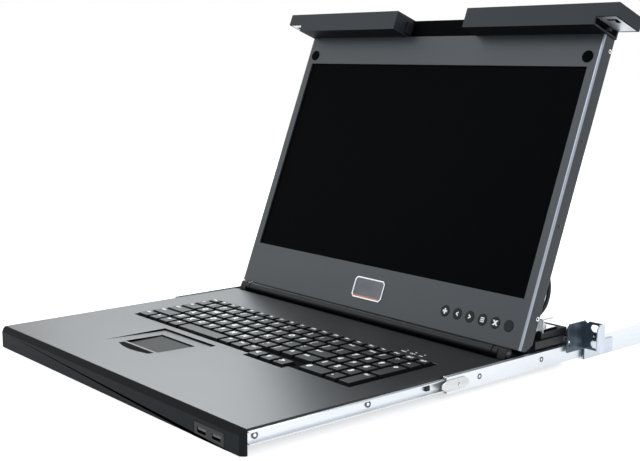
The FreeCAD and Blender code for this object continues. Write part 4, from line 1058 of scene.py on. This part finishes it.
def seen(tree):
    """1 where the camera or a reflection looks straight at a surface, 0 elsewhere."""
    path = tree.nodes.new("ShaderNodeLightPath")
    either = tree.nodes.new("ShaderNodeMath")
    either.operation = "MAXIMUM"
    wire(tree, path.outputs["Is Camera Ray"], either.inputs[0])
    wire(tree, path.outputs["Is Glossy Ray"], either.inputs[1])
    return either.outputs[0]


class CONSOLE_OT_stage(bpy.types.Operator):
    """Floor, light and camera"""
    bl_idname = "console.stage"
    bl_label = "Stage"

    def execute(self, context):
        self.floor()
        self.sky(context.scene)
        for light in STAGE_LIGHTS:
            self.light(*light)
        self.camera(context.scene)
        context.scene.view_settings.view_transform = "Standard"
        return {"FINISHED"}

    def floor(self):
        bpy.ops.object.select_all(action="DESELECT")
        bpy.ops.mesh.primitive_circle_add(vertices=96, radius=FLOOR_RADIUS, fill_type="NGON",
                                          location=(0, 0, CAD_BOX[0].z - FLOOR_DROP))
        floor = bpy.context.object
        floor.name = "floor"
        settle(floor)
        material = bpy.data.materials.new("floor_paint")
        material.use_nodes = True
        tree = material.node_tree
        shader = tree.nodes["Principled BSDF"]
        shader.inputs["Base Color"].default_value = FLOOR_COLOUR
        shader.inputs["Roughness"].default_value = 0.9
        shader.inputs["Specular IOR Level"].default_value = 0.1
        shader.inputs["Emission Color"].default_value = WHITE
        lift = tree.nodes.new("ShaderNodeMath")
        lift.operation = "MULTIPLY"
        lift.inputs[1].default_value = FLOOR_LIFT
        wire(tree, seen(tree), lift.inputs[0])
        wire(tree, lift.outputs[0], shader.inputs["Emission Strength"])
        paint(floor, material)

    def sky(self, scene):
        world = bpy.data.worlds.new("studio")
        world.use_nodes = True
        scene.world = world
        tree = world.node_tree
        sky = tree.nodes["Background"]
        sky.inputs["Color"].default_value = WHITE
        level = tree.nodes.new("ShaderNodeMapRange")
        level.inputs["To Min"].default_value = SKY_SOFT
        level.inputs["To Max"].default_value = SKY_SEEN
        wire(tree, seen(tree), level.inputs["Value"])
        wire(tree, level.outputs["Result"], sky.inputs["Strength"])

    def light(self, name, place, aim, size, power):
        bpy.ops.object.light_add(type="AREA", location=place)
        light = bpy.context.object
        light.name = name
        light.data.energy = power
        light.data.size = size
        light.data.color = LIGHT_COLOUR
        light.rotation_euler = (Vector(aim) - Vector(place)).to_track_quat("-Z", "Y").to_euler()

    def camera(self, scene):
        turn = (math.radians(90 - CAMERA_DOWN), 0, math.radians(CAMERA_ROUND))
        bpy.ops.object.camera_add(location=CAMERA_PLACE, rotation=turn)
        camera = bpy.context.object
        camera.name = "camera"
        camera.data.sensor_width = CAMERA_SENSOR
        camera.data.lens = CAMERA_LENS
        camera.data.clip_start = 0.02
        scene.camera = camera


STEPS = (CONSOLE_OT_finishes, CONSOLE_OT_housings, CONSOLE_OT_keys, CONSOLE_OT_cable,
         CONSOLE_OT_badge, CONSOLE_OT_button_signs, CONSOLE_OT_screen_screws, CONSOLE_OT_touchpad,
         CONSOLE_OT_lamps, CONSOLE_OT_cable_clamp, CONSOLE_OT_housing_screws,
         CONSOLE_OT_slide_trim, CONSOLE_OT_stage)


class CONSOLE_PT_panel(bpy.types.Panel):
    """Steps and settings of the console drawer"""
    bl_label = "Console Drawer"
    bl_idname = "CONSOLE_PT_panel"
    bl_space_type = "VIEW_3D"
    bl_region_type = "UI"
    bl_category = "Console Drawer"

    def draw(self, context):
        for step in STEPS:
            self.layout.operator(step.bl_idname)
        for group in (context.scene.console_colours, context.scene.console_sizes):
            for name in group.__annotations__:
                self.layout.prop(group, name)


CLASSES = (ConsoleColours, ConsoleSizes, *STEPS, CONSOLE_PT_panel)


def register():
    for one in CLASSES:
        bpy.utils.register_class(one)
    bpy.types.Scene.console_colours = bpy.props.PointerProperty(type=ConsoleColours)
    bpy.types.Scene.console_sizes = bpy.props.PointerProperty(type=ConsoleSizes)


def unregister():
    del bpy.types.Scene.console_sizes
    del bpy.types.Scene.console_colours
    for one in reversed(CLASSES):
        bpy.utils.unregister_class(one)


def main():
    register()
    for step in STEPS:
        family, name = step.bl_idname.split(".")
        getattr(getattr(bpy.ops, family), name)()


if __name__ == "__main__":
    main()
